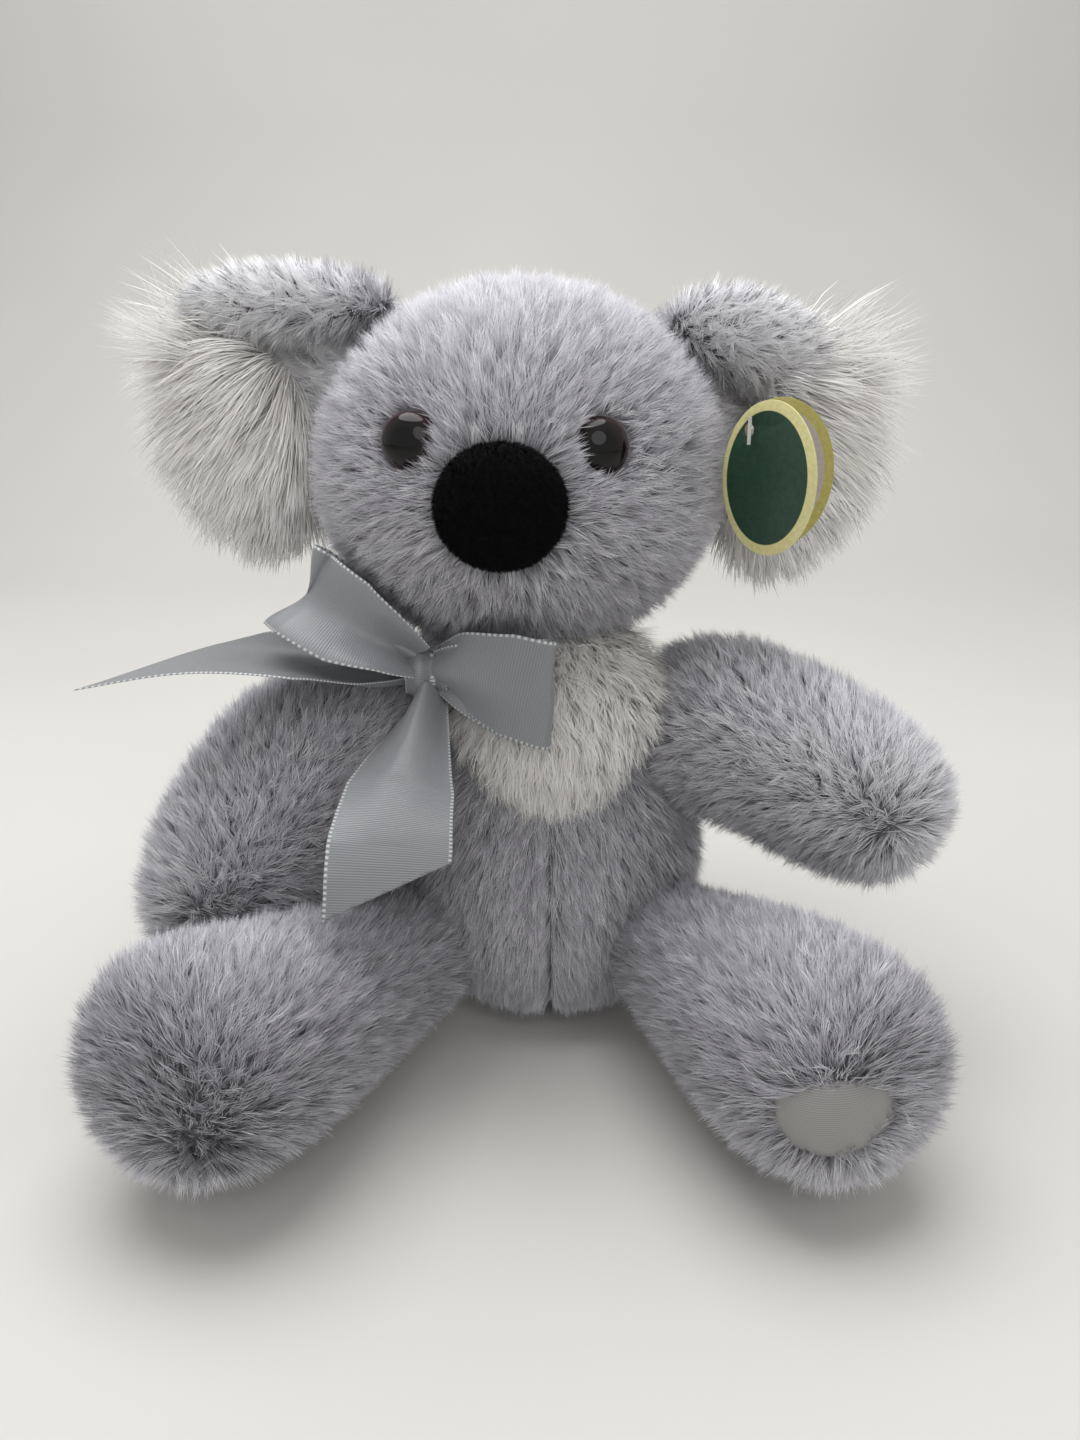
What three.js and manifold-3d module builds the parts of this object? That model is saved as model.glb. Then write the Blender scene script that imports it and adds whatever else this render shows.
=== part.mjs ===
// Sitting plush koala, one mesh for each piece that it is sewn and fitted from.
// Millimetres, +Z up, facing -Y, with the origin at the middle of the flat of the seat.
import * as THREE from 'three';
import { mergeVertices } from 'three/addons/utils/BufferGeometryUtils.js';
import Module from 'manifold-3d';

const wasm = await Module();
wasm.setup();

// Whole toy: clearances, and the plush with its pile, which is the wall of each stuffed shell
const fitGap = 0.4;
const jointGap = 0.8;
const turnGap = 1.2;
const seatSink = 0.5;
const plushWall = 9;
const limbWall = 8;

// Body: a pear on its seat, with a drawn-in neck and a stuffed knob that the head turns on
const bodyWidth = 121;
const bodyDepth = 114;
const shoulderHeight = 131;
const neckRadius = 38;
const knobRadius = 43.5;
const knobCentre = [-8, -8, 136];
const neckHole = 18.5;
const bodyProfileShares = [[0.42, 0], [0.78, 0.09], [0.96, 0.28], [1, 0.47], [0.95, 0.68], [0.85, 0.84], [0.66, 0.96]];
const pouchSize = [40, 32, 18];
const pouchBack = 14;

// Neck filling: a ball in the knob and a stem up into the head
const neckBallRadius = 20;
const neckStemRadius = 8;
const neckStemTop = 58;

// Head: a wide ball with a low muzzle and a hollow round each eye
const headSize = [139, 128, 123];
const headCentre = [-9.8, -12, 206];
const muzzleRiseShare = 0.06;
const muzzleSpread = 26;
const eyeHollowShare = 0.05;
const eyeHollowSpread = 12;

// Nose: a domed fleece pad
const noseSize = [40, 24, 38];
const noseCentre = [-14.5, -76.5, 203];

// Eyes: an 18 mm dome on a flange and shank, held by a washer inside the plush
const eyeRadius = 9;
const eyeDome = 6;
const eyeFlange = 1.6;
const shankRadius = 2.1;
const shankLength = 19;
const washerRadius = 8;
const washerThickness = 1.8;
const washerDepth = 14;
const eyes = {
  right: { place: [-41.5, -61, 220], facingShares: [-0.24, -0.95, 0.1] },
  left: { place: [14.5, -61.5, 218.5], facingShares: [0.2, -0.96, 0.1] },
};

// Ears: a back panel that curls over at the top, a long-pile front panel and a rolled root seam
const earSize = [66, 30, 98];
const earSplit = 1;
const earRootRadius = 6;
const earRootLength = 54;
const earGap = 3;
const ears = {
  right: { centre: [-101, 2, 221], lean: -0.16, root: [-71, 4, 222], rootAxisShares: [0.3, 0, 1],
    flap: [-85, -8, 259], flapSize: [80, 32, 26], flapLean: 0.02, turn: [-15, 12] },
  left: { centre: [82, 3, 214], lean: 0.2, root: [51, 4, 220], rootAxisShares: [-0.3, 0, 1],
    flap: [66, -9, 247], flapSize: [66, 32, 36], flapLean: 0.32, turn: [-5, 15] },
};

// Arms: a round shoulder, a straight sleeve and a wide paw
const shoulderBall = 22;
const arms = {
  right: { points: [[-47, -5, 107], [-85, -12, 118], [-113, -38, 66]], widths: [66, 78, 70], turn: [0, 16] },
  left: { points: [[47, -5, 106], [61, -20, 130], [111, -44, 98]], widths: [77, 66, 66], turn: [-16, 0] },
};

// Legs: a round hip, a thigh and a heavy foot that rests on the floor
const hipBall = 29;
const legs = {
  right: { points: [[-36, -16, 33], [-80, -62, 33], [-98, -107, 48]], widths: [54, 68, 100], turn: [0, 4] },
  left: { points: [[37, -16, 33], [55, -60, 45], [79, -107, 44]], widths: [48, 72, 89], turn: [-10, 12] },
};
const limbEndShare = 0.45;
const limbFullness = 3.4;

// Chest: a bib of long white pile that swells under the chin
const bibSize = [86, 88, 84];
const bibCentre = [1, -17, 123];
const bibTip = [1, 0, 80];
const bibSideShares = [0.8, 0, -0.6];

// Ribbon: 38 mm satin, tied on the koala's right
const ribbonWidth = 38;
const ribbonThickness = 1;
const neckbandThickness = 3;
const neckbandHeight = 12.5;
const knotSize = [19, 15, 17];
const knotCentre = [-40, -47, 145];
const frontTail = {
  points: [[-40, -51, 140], [-43, -64, 130], [-46.5, -79, 117.5], [-48.5, -93, 103.5], [-50, -102, 78]],
  widthShares: [0.35, 0.6, 0.9, 1, 1], across: [[1, 0, 0], [1, 0.1, 0], [1, 0.1, 0], [1, 0.12, 0]],
};
const frontTailCut = { place: [-49.7, -102, 90.3], facing: [0.37, 0, -0.93] };
const sideTail = {
  points: [[-46, -44, 144], [-60, -47, 145], [-80, -48, 150], [-112, -46, 151], [-156, -42, 141]],
  widthShares: [0.3, 0.5, 0.85, 1, 1], across: [[0, 1, 0.3], [0, 1, 0.25], [0, 1, 0.1], [0, 1, -0.05]],
};
const sideTailCut = { place: [-121, -44, 146], facing: [-0.5, 0.86, 0] };
const frontLoop = {
  points: [[-37, -50, 147], [-28, -60, 148], [-14, -67, 146], [0, -68.5, 143], [1, -65.5, 143], [-1, -63, 143],
    [-14, -62.5, 144], [-27, -56, 146], [-36, -48, 146]],
  widthShares: [0.3, 0.45, 0.8, 0.9, 0.9, 0.9, 0.8, 0.45, 0.3], across: [[0, 0, 1]],
};
const sideLoop = {
  points: [[-43, -52, 150], [-52, -57, 157], [-64, -58, 164], [-76, -54, 171], [-79, -50.5, 172.5], [-76, -47, 171],
    [-64, -47, 164], [-53, -49, 157], [-44, -47, 150]],
  widthShares: [0.25, 0.4, 0.6, 0.6, 0.6, 0.6, 0.5, 0.3, 0.25], across: [[0.6, 0.1, 0.75]],
};

// Hang tag: two oval leaves folded at the left, held to the ear by a plastic loop
const leafWidth = 34.5;
const leafHeight = 46.5;
const leafThickness = 0.8;
const leafOpenAngle = 47;
const tagPlace = [-4.8, -42, 208.5];
const tagSpine = [headCentre[0] + headSize[0] / 2 + tagPlace[0], tagPlace[1], tagPlace[2]];
const tagHoleRadius = 2;
const tagHole = [9, 14];
const strandRadius = 0.6;
const strandPlaces = [[17.6, -4, 228], [17.6, -32, 228], [9.6, -38, 222.7], [5.2, -54, 222.5]];
const strandPoints = strandPlaces.map(([x, y, z]) => [tagSpine[0] + x, y, z]);
const toggleLength = 8;

// Foot label: an oval of satin on the koala's left sole
const labelSize = [36, 24];
const labelThickness = 0.6;
const labelPlace = [79, -125, 43];
const labelFacingShares = [0, -1, -0.1];

// Mesh fineness, as counts
const bodyRound = [22, 14];
const limbRound = [16, 12];
const smallRound = [14, 8];
const hiddenRound = [10, 6];
const strandRound = [6, 4];
const sweepSteps = 2;
const stripSteps = 3;

const up = new THREE.Vector3(0, 0, 1);
const vector = (place) => new THREE.Vector3(...place);
const hair = fitGap / 1000;

// A closed mesh as a solid that can be joined and cut, without the flat faces at its poles
function solid(geometry) {
  const bare = geometry.clone();
  bare.deleteAttribute('normal');
  bare.deleteAttribute('uv');
  const merged = mergeVertices(bare, hair);
  const vertProperties = new Float32Array(merged.attributes.position.array);
  const corners = merged.index.array;
  const whole = (face) => new Set(face).size === 3;
  const faces = Array.from({ length: corners.length / 3 }, (_, k) => [...corners.slice(3 * k, 3 * k + 3)]);
  const triVerts = new Uint32Array(faces.filter(whole).flat());
  const mesh = new wasm.Mesh({ numProp: 3, vertProperties, triVerts });
  mesh.merge();
  return new wasm.Manifold(mesh);
}

function geometryOf(body) {
  const mesh = body.getMesh();
  const geometry = new THREE.BufferGeometry();
  geometry.setAttribute('position', new THREE.BufferAttribute(mesh.vertProperties, mesh.numProp));
  geometry.setIndex(new THREE.BufferAttribute(mesh.triVerts, 1));
  return geometry;
}

// Turns and moves a geometry so that its own axis points a given way from a given place
function aimed(geometry, axis, direction, place) {
  const turn = new THREE.Quaternion().setFromUnitVectors(axis, vector(direction).normalize());
  geometry.applyMatrix4(new THREE.Matrix4().compose(vector(place), turn, new THREE.Vector3(1, 1, 1)));
  return geometry;
}

// A ball with its own width along each axis, leaned over about Y
function ball(size, centre, lean = 0, round = smallRound) {
  const geometry = new THREE.SphereGeometry(1, ...round);
  geometry.rotateX(Math.PI / 2);
  geometry.scale(...size.map((width) => width / 2));
  geometry.rotateY(lean);
  geometry.translate(...centre);
  return solid(geometry);
}

const sphere = (radius, centre, round) => ball([2 * radius, 2 * radius, 2 * radius], centre, 0, round);

// A round bar from one place to another
function bar(radius, from, to, sides = smallRound[0]) {
  const along = vector(to).sub(vector(from));
  const geometry = new THREE.CylinderGeometry(radius, radius, along.length(), sides);
  const middle = vector(from).add(vector(to)).divideScalar(2).toArray();
  return solid(aimed(geometry, new THREE.Vector3(0, 1, 0), along.toArray(), middle));
}

// The place that lies a distance away along a direction
function offset(place, direction, distance) {
  return vector(place).addScaledVector(vector(direction).normalize(), distance).toArray();
}

// All the space past a plane, as a large block
function beyond(place, facing) {
  const reach = 6 * bodyWidth;
  const geometry = new THREE.BoxGeometry(reach, reach, reach);
  geometry.translate(0, 0, reach / 2);
  return solid(aimed(geometry, up, facing, place));
}

// A stuffed tube that swells and tapers along a curve, with full round ends
function stuffed(points, widths, inset, round) {
  const path = new THREE.QuadraticBezierCurve3(...points.map(vector));
  const swell = new THREE.SplineCurve(widths.map((width, i) => new THREE.Vector2(i, width)));
  const drawnIn = 1 - 2 * inset / path.getLength();
  const geometry = new THREE.SphereGeometry(1, ...round);
  const places = geometry.attributes.position;
  const here = new THREE.Vector3();
  for (let i = 0; i < places.count; i++) {
    here.fromBufferAttribute(places, i);
    const share = (1 + here.y * drawnIn) / 2;
    const ring = Math.hypot(here.x, here.z);
    const full = Math.pow(Math.max(0, 1 - Math.pow(Math.abs(here.y), limbFullness)), 1 / limbFullness);
    const radius = ring > hair ? (swell.getPoint(share).y / 2 - inset) * full / ring : 0;
    const along = path.getTangent(THREE.MathUtils.clamp(share, 0, 1));
    const across = along.clone().cross(up).normalize();
    const third = across.clone().cross(along);
    const place = path.getPoint(share);
    place.addScaledVector(across, here.x * radius).addScaledVector(third, here.z * radius);
    places.setXYZ(i, place.x, place.y, place.z);
  }
  return solid(geometry);
}

// A flat ribbon along a smooth line, turned by the directions across it
function strip({ points, widthShares, across }) {
  const line = new THREE.CatmullRomCurve3(points.map(vector));
  const steps = stripSteps * (points.length - 1);
  const corners = [];
  const faces = [];
  for (let i = 0; i <= steps; i++) {
    const share = i / steps;
    const blend = (list, mix) => {
      const at = Math.min(share * (list.length - 1), list.length - 1 - hair);
      const low = Math.max(0, Math.floor(at));
      return list.length === 1 ? list[0] : mix(list[low], list[low + 1], at - low);
    };
    const width = ribbonWidth * blend(widthShares, (a, b, t) => a + (b - a) * t);
    const along = line.getTangent(share);
    const side = vector(blend(across, (a, b, t) => a.map((value, k) => value + (b[k] - value) * t)));
    side.addScaledVector(along, -side.dot(along)).normalize();
    const out = side.clone().cross(along);
    const middle = line.getPoint(share);
    for (const [u, v] of [[-1, -1], [1, -1], [1, 1], [-1, 1]]) {
      corners.push(...middle.clone().addScaledVector(side, u * width / 2).addScaledVector(out, v * ribbonThickness / 2));
    }
    for (let k = 0; k < 4 && i < steps; k++) {
      const [a, b] = [4 * i + k, 4 * i + (k + 1) % 4];
      faces.push(a, a + 4, b, b, a + 4, b + 4);
    }
  }
  const last = 4 * steps;
  faces.push(0, 1, 2, 0, 2, 3, last, last + 2, last + 1, last, last + 3, last + 2);
  const geometry = new THREE.BufferGeometry();
  geometry.setAttribute('position', new THREE.BufferAttribute(new Float32Array(corners), 3));
  geometry.setIndex(faces);
  return solid(geometry);
}

// Turns a solid about an axis through a point, by degrees
function turned(body, pivot, axis, angle) {
  const matrix = new THREE.Matrix4().makeTranslation(...pivot);
  matrix.multiply(new THREE.Matrix4().makeRotationAxis(vector(axis).normalize(), THREE.MathUtils.degToRad(angle)));
  matrix.multiply(new THREE.Matrix4().makeTranslation(...pivot.map((value) => -value)));
  return body.transform(matrix.elements);
}

// Cuts a piece back so that it stays clear of its neighbour all through its turn
function clearedOf(piece, neighbour, pivot, axis, range) {
  let result = piece.subtract(neighbour);
  for (const limit of range.filter((angle) => angle !== 0)) {
    for (let step = 1; step <= sweepSteps; step++) {
      result = result.subtract(turned(neighbour, pivot, axis, -limit * step / sweepSteps));
    }
  }
  return result;
}

// The body's pear shape, spun from its outline and made less deep than wide
function bodyForm(inset, round) {
  const outline = bodyProfileShares.map(([r, z]) => new THREE.Vector2(r * bodyWidth / 2, z * shoulderHeight));
  outline.push(new THREE.Vector2(0, shoulderHeight));
  const points = [new THREE.Vector2(0, 0), ...new THREE.SplineCurve(outline).getPoints(round[1])];
  const pulled = points.map((point) => new THREE.Vector2(
    point.x > hair ? Math.max(0, point.x - inset) : 0,
    Math.min(Math.max(point.y, inset), shoulderHeight - inset) - seatSink));
  const geometry = new THREE.LatheGeometry(pulled, round[0]);
  geometry.rotateX(Math.PI / 2);
  geometry.scale(1, bodyDepth / bodyWidth, 1);
  return solid(geometry);
}

// The head's ball with its muzzle and eye hollows
function headForm(inset, round) {
  const geometry = new THREE.SphereGeometry(1, ...round);
  geometry.rotateX(Math.PI / 2);
  const places = geometry.attributes.position;
  const here = new THREE.Vector3();
  const nearness = (target, spread) => {
    const away = target.map((value, k) => value - headCentre[k] - here.getComponent(k) * headSize[k] / 2);
    return Math.exp(-vector(away).lengthSq() / (2 * spread * spread));
  };
  for (let i = 0; i < places.count; i++) {
    here.fromBufferAttribute(places, i);
    let rise = 1 + muzzleRiseShare * nearness(noseCentre, muzzleSpread);
    for (const eye of Object.values(eyes)) rise -= eyeHollowShare * nearness(eye.place, eyeHollowSpread);
    const place = headSize.map((size, k) => headCentre[k] + here.getComponent(k) * (size / 2 * rise - inset));
    places.setXYZ(i, ...place);
  }
  return solid(geometry);
}

const koala = new THREE.Group();
function add(name, body, color, roughness) {
  const material = new THREE.MeshStandardMaterial({ color, roughness, metalness: 0 });
  const mesh = new THREE.Mesh(geometryOf(body), material);
  mesh.name = name;
  koala.add(mesh);
}
const plushGrey = 0x9b9aa1;
const pileWhite = 0xe9e8e5;
const fillWhite = 0xf2f1ec;
const satinGrey = 0xa9abad;

// Forms that several pieces are cut by
const floorBlock = beyond([0, 0, 0], [0, 0, -1]);
const neckBase = [knobCentre[0], knobCentre[1], shoulderHeight - plushWall];
const neck = bar(neckRadius, neckBase, [knobCentre[0], knobCentre[1], knobCentre[2] + neckbandHeight], bodyRound[0]);
const knob = sphere(knobRadius, knobCentre, smallRound);
const bandTop = shoulderHeight + fitGap + neckbandHeight;
const bandGroove = solid(ring(neckRadius, 2 * knobRadius, shoulderHeight, bandTop + fitGap));
const bodyOuter = bodyForm(0, bodyRound).add(knob.add(neck)).subtract(bandGroove);
const bandKeepTop = [knobCentre[0], knobCentre[1], bandTop + jointGap];
const bandKeepOut = bar(neckRadius + neckbandThickness + 3 * fitGap, neckBase, bandKeepTop, bodyRound[0]);
const bodySpace = (gap, round) => bodyForm(-gap, round).add(sphere(knobRadius + gap, knobCentre, smallRound));
const bodyKeepOut = bodySpace(jointGap, bodyRound).add(bandKeepOut);
const headKeepOut = headForm(-earGap, smallRound);
const neckDent = sphere(knobRadius + turnGap, knobCentre, bodyRound);

// A closed ring round the neck's axis
function ring(inner, outer, low, high) {
  const outline = [[inner, low], [outer, low], [outer, high], [inner, high], [inner, low]];
  const geometry = new THREE.LatheGeometry(outline.map(([r, z]) => new THREE.Vector2(r, z)), bodyRound[0]);
  geometry.rotateX(Math.PI / 2);
  geometry.translate(knobCentre[0], knobCentre[1], 0);
  return geometry;
}

// Arms and legs: a sleeve cut clear of the body, on a ball that turns in the body's socket
function routeOf({ points, widths }) {
  const [root, bend, end] = points;
  return [root, bend, offset(end, vector(end).sub(vector(bend)).toArray(), widths[2] * limbEndShare)];
}

function limb({ points, widths, turn }, ballRadius, axis, cuts) {
  const [root, bend] = points;
  const route = routeOf({ points, widths });
  let outer = clearedOf(stuffed(route, widths, 0, limbRound), bodyKeepOut, root, axis, turn);
  outer = outer.add(sphere(ballRadius, root, hiddenRound));
  const hollow = (wall) => {
    const sleeve = clearedOf(stuffed(route, widths, wall, hiddenRound), bodySpace(wall, hiddenRound), root, axis, turn);
    return sleeve.add(sphere(ballRadius - wall, root, hiddenRound)).add(bar(2 * limbWall - wall, root, bend));
  };
  let inner = hollow(limbWall);
  let filling = hollow(limbWall + fitGap);
  for (const { place, facing } of cuts) {
    outer = outer.subtract(beyond(place, facing));
    inner = inner.subtract(beyond(offset(place, facing, -limbWall), facing));
    filling = filling.subtract(beyond(offset(place, facing, -limbWall - fitGap), facing));
  }
  const mouth = bar(limbWall, root, offset(root, vector(root).sub(vector(bend)).toArray(), ballRadius + limbWall));
  return { shell: outer.subtract(inner).subtract(mouth), filling };
}

// The right paw and the right thigh press each other flat, and the feet are flat where they stand
const press = vector(legs.right.points[1]).sub(vector(arms.right.points[2]));
const pressPlace = offset(arms.right.points[2], press.toArray(), press.length() / 2);
const away = press.toArray();
const back = press.clone().negate().toArray();
const pawCut = { place: offset(pressPlace, back, fitGap / 2), facing: away };
const thighCut = { place: offset(pressPlace, away, fitGap / 2), facing: back };
const floorCut = { place: [0, 0, 0], facing: [0, 0, -1] };
const limbs = {
  arm_right: limb(arms.right, shoulderBall, [0, 1, 0], [pawCut]),
  arm_left: limb(arms.left, shoulderBall, [0, 1, 0], []),
  leg_right: limb(legs.right, hipBall, [0, 0, 1], [thighCut, floorCut]),
  leg_left: limb(legs.left, hipBall, [0, 0, 1], [floorCut]),
};
const sockets = (extra, round) => ['right', 'left'].map((side) =>
  sphere(shoulderBall + extra, arms[side].points[0], round)
    .add(sphere(hipBall + extra, legs[side].points[0], round)))
  .reduce((a, b) => a.add(b));

// Bib
const armClear = (piece, side) => {
  const space = stuffed(routeOf(arms[side]), arms[side].widths, -jointGap, limbRound);
  return clearedOf(piece, space, arms[side].points[0], [0, 1, 0], arms[side].turn.map((angle) => -angle));
};
const bandSpace = solid(ring(neckRadius - fitGap, neckRadius + neckbandThickness + 2 * fitGap, shoulderHeight, bandTop + fitGap));
const bibForm = ball(bibSize, bibCentre, 0, smallRound)
  .subtract(bodyForm(-fitGap, bodyRound))
  .subtract(beyond([0, bibCentre[1], 0], [0, 1, 0]))
  .subtract(beyond(bibTip, bibSideShares))
  .subtract(beyond(bibTip, [-bibSideShares[0], 0, bibSideShares[2]]))
  .subtract(sphere(knobRadius + fitGap, knobCentre, smallRound))
  .subtract(headForm(-jointGap, smallRound))
  .subtract(bandSpace)
  .subtract(sockets(turnGap, limbRound));
const bib = armClear(armClear(bibForm, 'right'), 'left');

// Body
const neckBallSpace = sphere(neckBallRadius + turnGap, knobCentre, smallRound);
const neckWay = bar(neckHole, knobCentre, offset(knobCentre, [0, 0, 1], 2 * knobRadius));
const bodyShell = bodyOuter
  .subtract(sockets(turnGap, limbRound))
  .subtract(bodyForm(plushWall, hiddenRound))
  .subtract(neckBallSpace)
  .subtract(neckWay)
  .subtract(floorBlock);
const pouchCentre = [0, pouchBack, plushWall + fitGap + pouchSize[2] / 2];
const pouch = ball(pouchSize, pouchCentre, 0, hiddenRound);
const bodyFilling = bodyForm(plushWall + fitGap, hiddenRound)
  .subtract(sockets(3 * turnGap, hiddenRound))
  .subtract(neckBallSpace)
  .subtract(ball(pouchSize.map((size) => size + 2 * fitGap), pouchCentre, 0, hiddenRound));
add('torso_shell', bodyShell, plushGrey, 0.95);
add('torso_filling', bodyFilling, fillWhite, 1);
add('bean_pouch', pouch, 0xd9d4c8, 0.9);
add('chest_bib', bib, pileWhite, 0.95);

// Neck filling
const stem = bar(neckStemRadius, knobCentre, offset(knobCentre, [0, 0, 1], neckStemTop));
add('neck_filling', sphere(neckBallRadius, knobCentre, hiddenRound).add(stem), fillWhite, 1);

// Eyes, washers and nose
const eyeBack = -eyeFlange;
const domePoints = [0, 1, 2, 3, 4].map((k) => {
  const angle = k / 4 * Math.PI / 2;
  return new THREE.Vector2(eyeRadius * Math.sin(angle), eyeDome * Math.cos(angle));
});
const eyeOutline = [[eyeRadius, eyeBack], [shankRadius, eyeBack], [shankRadius, eyeBack - shankLength], [0, eyeBack - shankLength]];
let headShell = headForm(0, bodyRound).subtract(neckDent);
let headFilling = headForm(plushWall + fitGap, hiddenRound)
  .subtract(sphere(knobRadius + turnGap + plushWall + fitGap, knobCentre, hiddenRound));
const headInner = headForm(plushWall, hiddenRound)
  .subtract(sphere(knobRadius + turnGap + plushWall, knobCentre, hiddenRound));
const stemWay = bar(neckStemRadius + jointGap, knobCentre, offset(knobCentre, [0, 0, 1], neckStemTop + jointGap));
headShell = headShell.subtract(headInner).subtract(stemWay);
headFilling = headFilling.subtract(stemWay);
for (const [side, { place, facingShares }] of Object.entries(eyes)) {
  const at = (distance) => offset(place, facingShares, distance);
  const points = [...domePoints, ...eyeOutline.map(([r, z]) => new THREE.Vector2(r, z))].reverse();
  const eye = new THREE.LatheGeometry(points, smallRound[0]);
  add(`eye_${side}`, solid(aimed(eye, new THREE.Vector3(0, 1, 0), facingShares, place)), 0x1a1210, 0.08);
  const washer = bar(washerRadius, at(-washerDepth), at(-washerDepth - washerThickness))
    .subtract(bar(shankRadius + fitGap, at(0), at(-shankLength - washerDepth)));
  add(`eye_washer_${side}`, washer, 0xf0f0ee, 0.5);
  const pocket = bar(eyeRadius + fitGap, at(eyeBack - fitGap), at(eyeRadius + eyeDome));
  const shankWay = bar(shankRadius + fitGap, at(0), at(eyeBack - shankLength - fitGap));
  const washerWay = bar(washerRadius + fitGap, at(fitGap - washerDepth), at(-washerDepth - washerThickness - fitGap));
  headShell = headShell.subtract(pocket.add(shankWay)).subtract(washerWay);
  headFilling = headFilling.subtract(pocket.add(shankWay)).subtract(washerWay);
}
const nose = ball(noseSize, noseCentre).subtract(headForm(-fitGap, bodyRound));
add('nose_pad', nose, 0x0b0b0d, 0.9);

// Ears
for (const [side, ear] of Object.entries(ears)) {
  const axis = vector(ear.rootAxisShares).normalize();
  const ends = [-1, 1].map((way) => offset(ear.root, axis.toArray(), way * earRootLength / 2));
  const root = bar(earRootRadius, ...ends);
  const rootSpace = bar(earRootRadius + fitGap, ...ends.map((end, k) => offset(end, axis.toArray(), (2 * k - 1) * fitGap)));
  const form = ball(earSize, ear.centre, ear.lean);
  const flap = ball(ear.flapSize, ear.flap, ear.flapLean);
  const flapSpace = ball(ear.flapSize.map((size) => size + 2 * fitGap), ear.flap, ear.flapLean);
  const clear = (piece) => clearedOf(piece, headKeepOut, ear.root, axis.toArray(), ear.turn);
  const rear = form.subtract(beyond([0, earSplit + fitGap / 2, 0], [0, -1, 0])).add(flap);
  const front = form.subtract(beyond([0, earSplit - fitGap / 2, 0], [0, 1, 0])).subtract(flapSpace);
  const strandWay = bar(strandRadius + fitGap, offset(strandPoints[0], [0, 1, 0], fitGap), strandPoints[1], strandRound[0]);
  const pierced = (piece) => (side === 'left' ? piece.subtract(strandWay) : piece);
  add(`ear_back_${side}`, pierced(clear(rear).add(root)), plushGrey, 0.95);
  add(`ear_front_${side}`, pierced(clear(front).subtract(rootSpace)), pileWhite, 0.95);
  headShell = headShell.subtract(rootSpace);
}
add('head_shell', headShell, plushGrey, 0.95);
add('head_filling', headFilling, fillWhite, 1);

for (const [name, { shell, filling }] of Object.entries(limbs)) {
  add(`${name}_shell`, shell, plushGrey, 0.95);
  add(`${name}_filling`, filling, fillWhite, 1);
}

// Foot label
const oval = new THREE.CylinderGeometry(1, 1, 1, smallRound[0]);
oval.translate(0, 0.5, 0);
oval.scale(labelSize[0] / 2, legs.left.widths[2], labelSize[1] / 2);
oval.rotateX(Math.PI);
const labelSpace = solid(aimed(oval, new THREE.Vector3(0, -1, 0), labelFacingShares, labelPlace));
const sole = (gap) => stuffed(routeOf(legs.left), legs.left.widths, -gap, limbRound);
const label = sole(2 * fitGap + labelThickness).subtract(sole(2 * fitGap)).intersect(labelSpace);
add('foot_label', label, 0xc9c8c4, 0.35);

// Ribbon
const neckband = solid(ring(neckRadius + fitGap, neckRadius + fitGap + neckbandThickness, shoulderHeight + fitGap, bandTop));
const knot = ball(knotSize, knotCentre).subtract(bandSpace);
const knotSpace = ball(knotSize.map((size) => size + 2 * fitGap), knotCentre);
const cutBy = ({ place, facing }) => beyond(place, facing);
add('ribbon_neckband', neckband, satinGrey, 0.4);
add('ribbon_knot', knot, satinGrey, 0.4);
add('ribbon_tail_front', strip(frontTail).subtract(cutBy(frontTailCut)).subtract(knotSpace), satinGrey, 0.4);
add('ribbon_tail_side', strip(sideTail).subtract(cutBy(sideTailCut)).subtract(knotSpace), satinGrey, 0.4);
add('ribbon_loop_front', strip(frontLoop).subtract(knotSpace), satinGrey, 0.4);
add('ribbon_loop_side', strip(sideLoop).subtract(knotSpace), satinGrey, 0.4);

// Hang tag
function leaf(angle) {
  const oval = new THREE.Shape().absellipse(leafWidth / 2, 0, leafWidth / 2, leafHeight / 2, 0, 2 * Math.PI);
  oval.holes.push(new THREE.Path().absellipse(...tagHole, tagHoleRadius, tagHoleRadius, 0, 2 * Math.PI));
  const geometry = new THREE.ExtrudeGeometry(oval, { depth: leafThickness, bevelEnabled: false, curveSegments: hiddenRound[0] });
  geometry.rotateX(Math.PI / 2);
  geometry.rotateZ(-THREE.MathUtils.degToRad(angle));
  geometry.translate(...tagSpine);
  return geometry;
}
const coverLeaf = leaf(leafOpenAngle);
coverLeaf.translate(0, -leafThickness - fitGap, 0);
add('tag_back_leaf', solid(leaf(0)), 0xd8d6c4, 0.5);
add('tag_front_leaf', solid(coverLeaf), 0x27402b, 0.4);
let strand = sphere(strandRadius, strandPoints[1], strandRound);
strandPoints.slice(1).forEach((point, k) => {
  strand = strand.add(bar(strandRadius, strandPoints[k], point, strandRound[0])).add(sphere(strandRadius, point, strandRound));
});
const toggle = [-1, 1].map((way) => offset(strandPoints[3], [0, 0, 1], way * toggleLength / 2));
add('tag_fastener', strand.add(bar(strandRadius, ...toggle, strandRound[0])), 0xe6e6e2, 0.3);

export default koala;
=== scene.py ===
import bpy
import math
import numpy as np
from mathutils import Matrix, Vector
from mathutils.bvhtree import BVHTree
from mathutils.kdtree import KDTree


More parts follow.
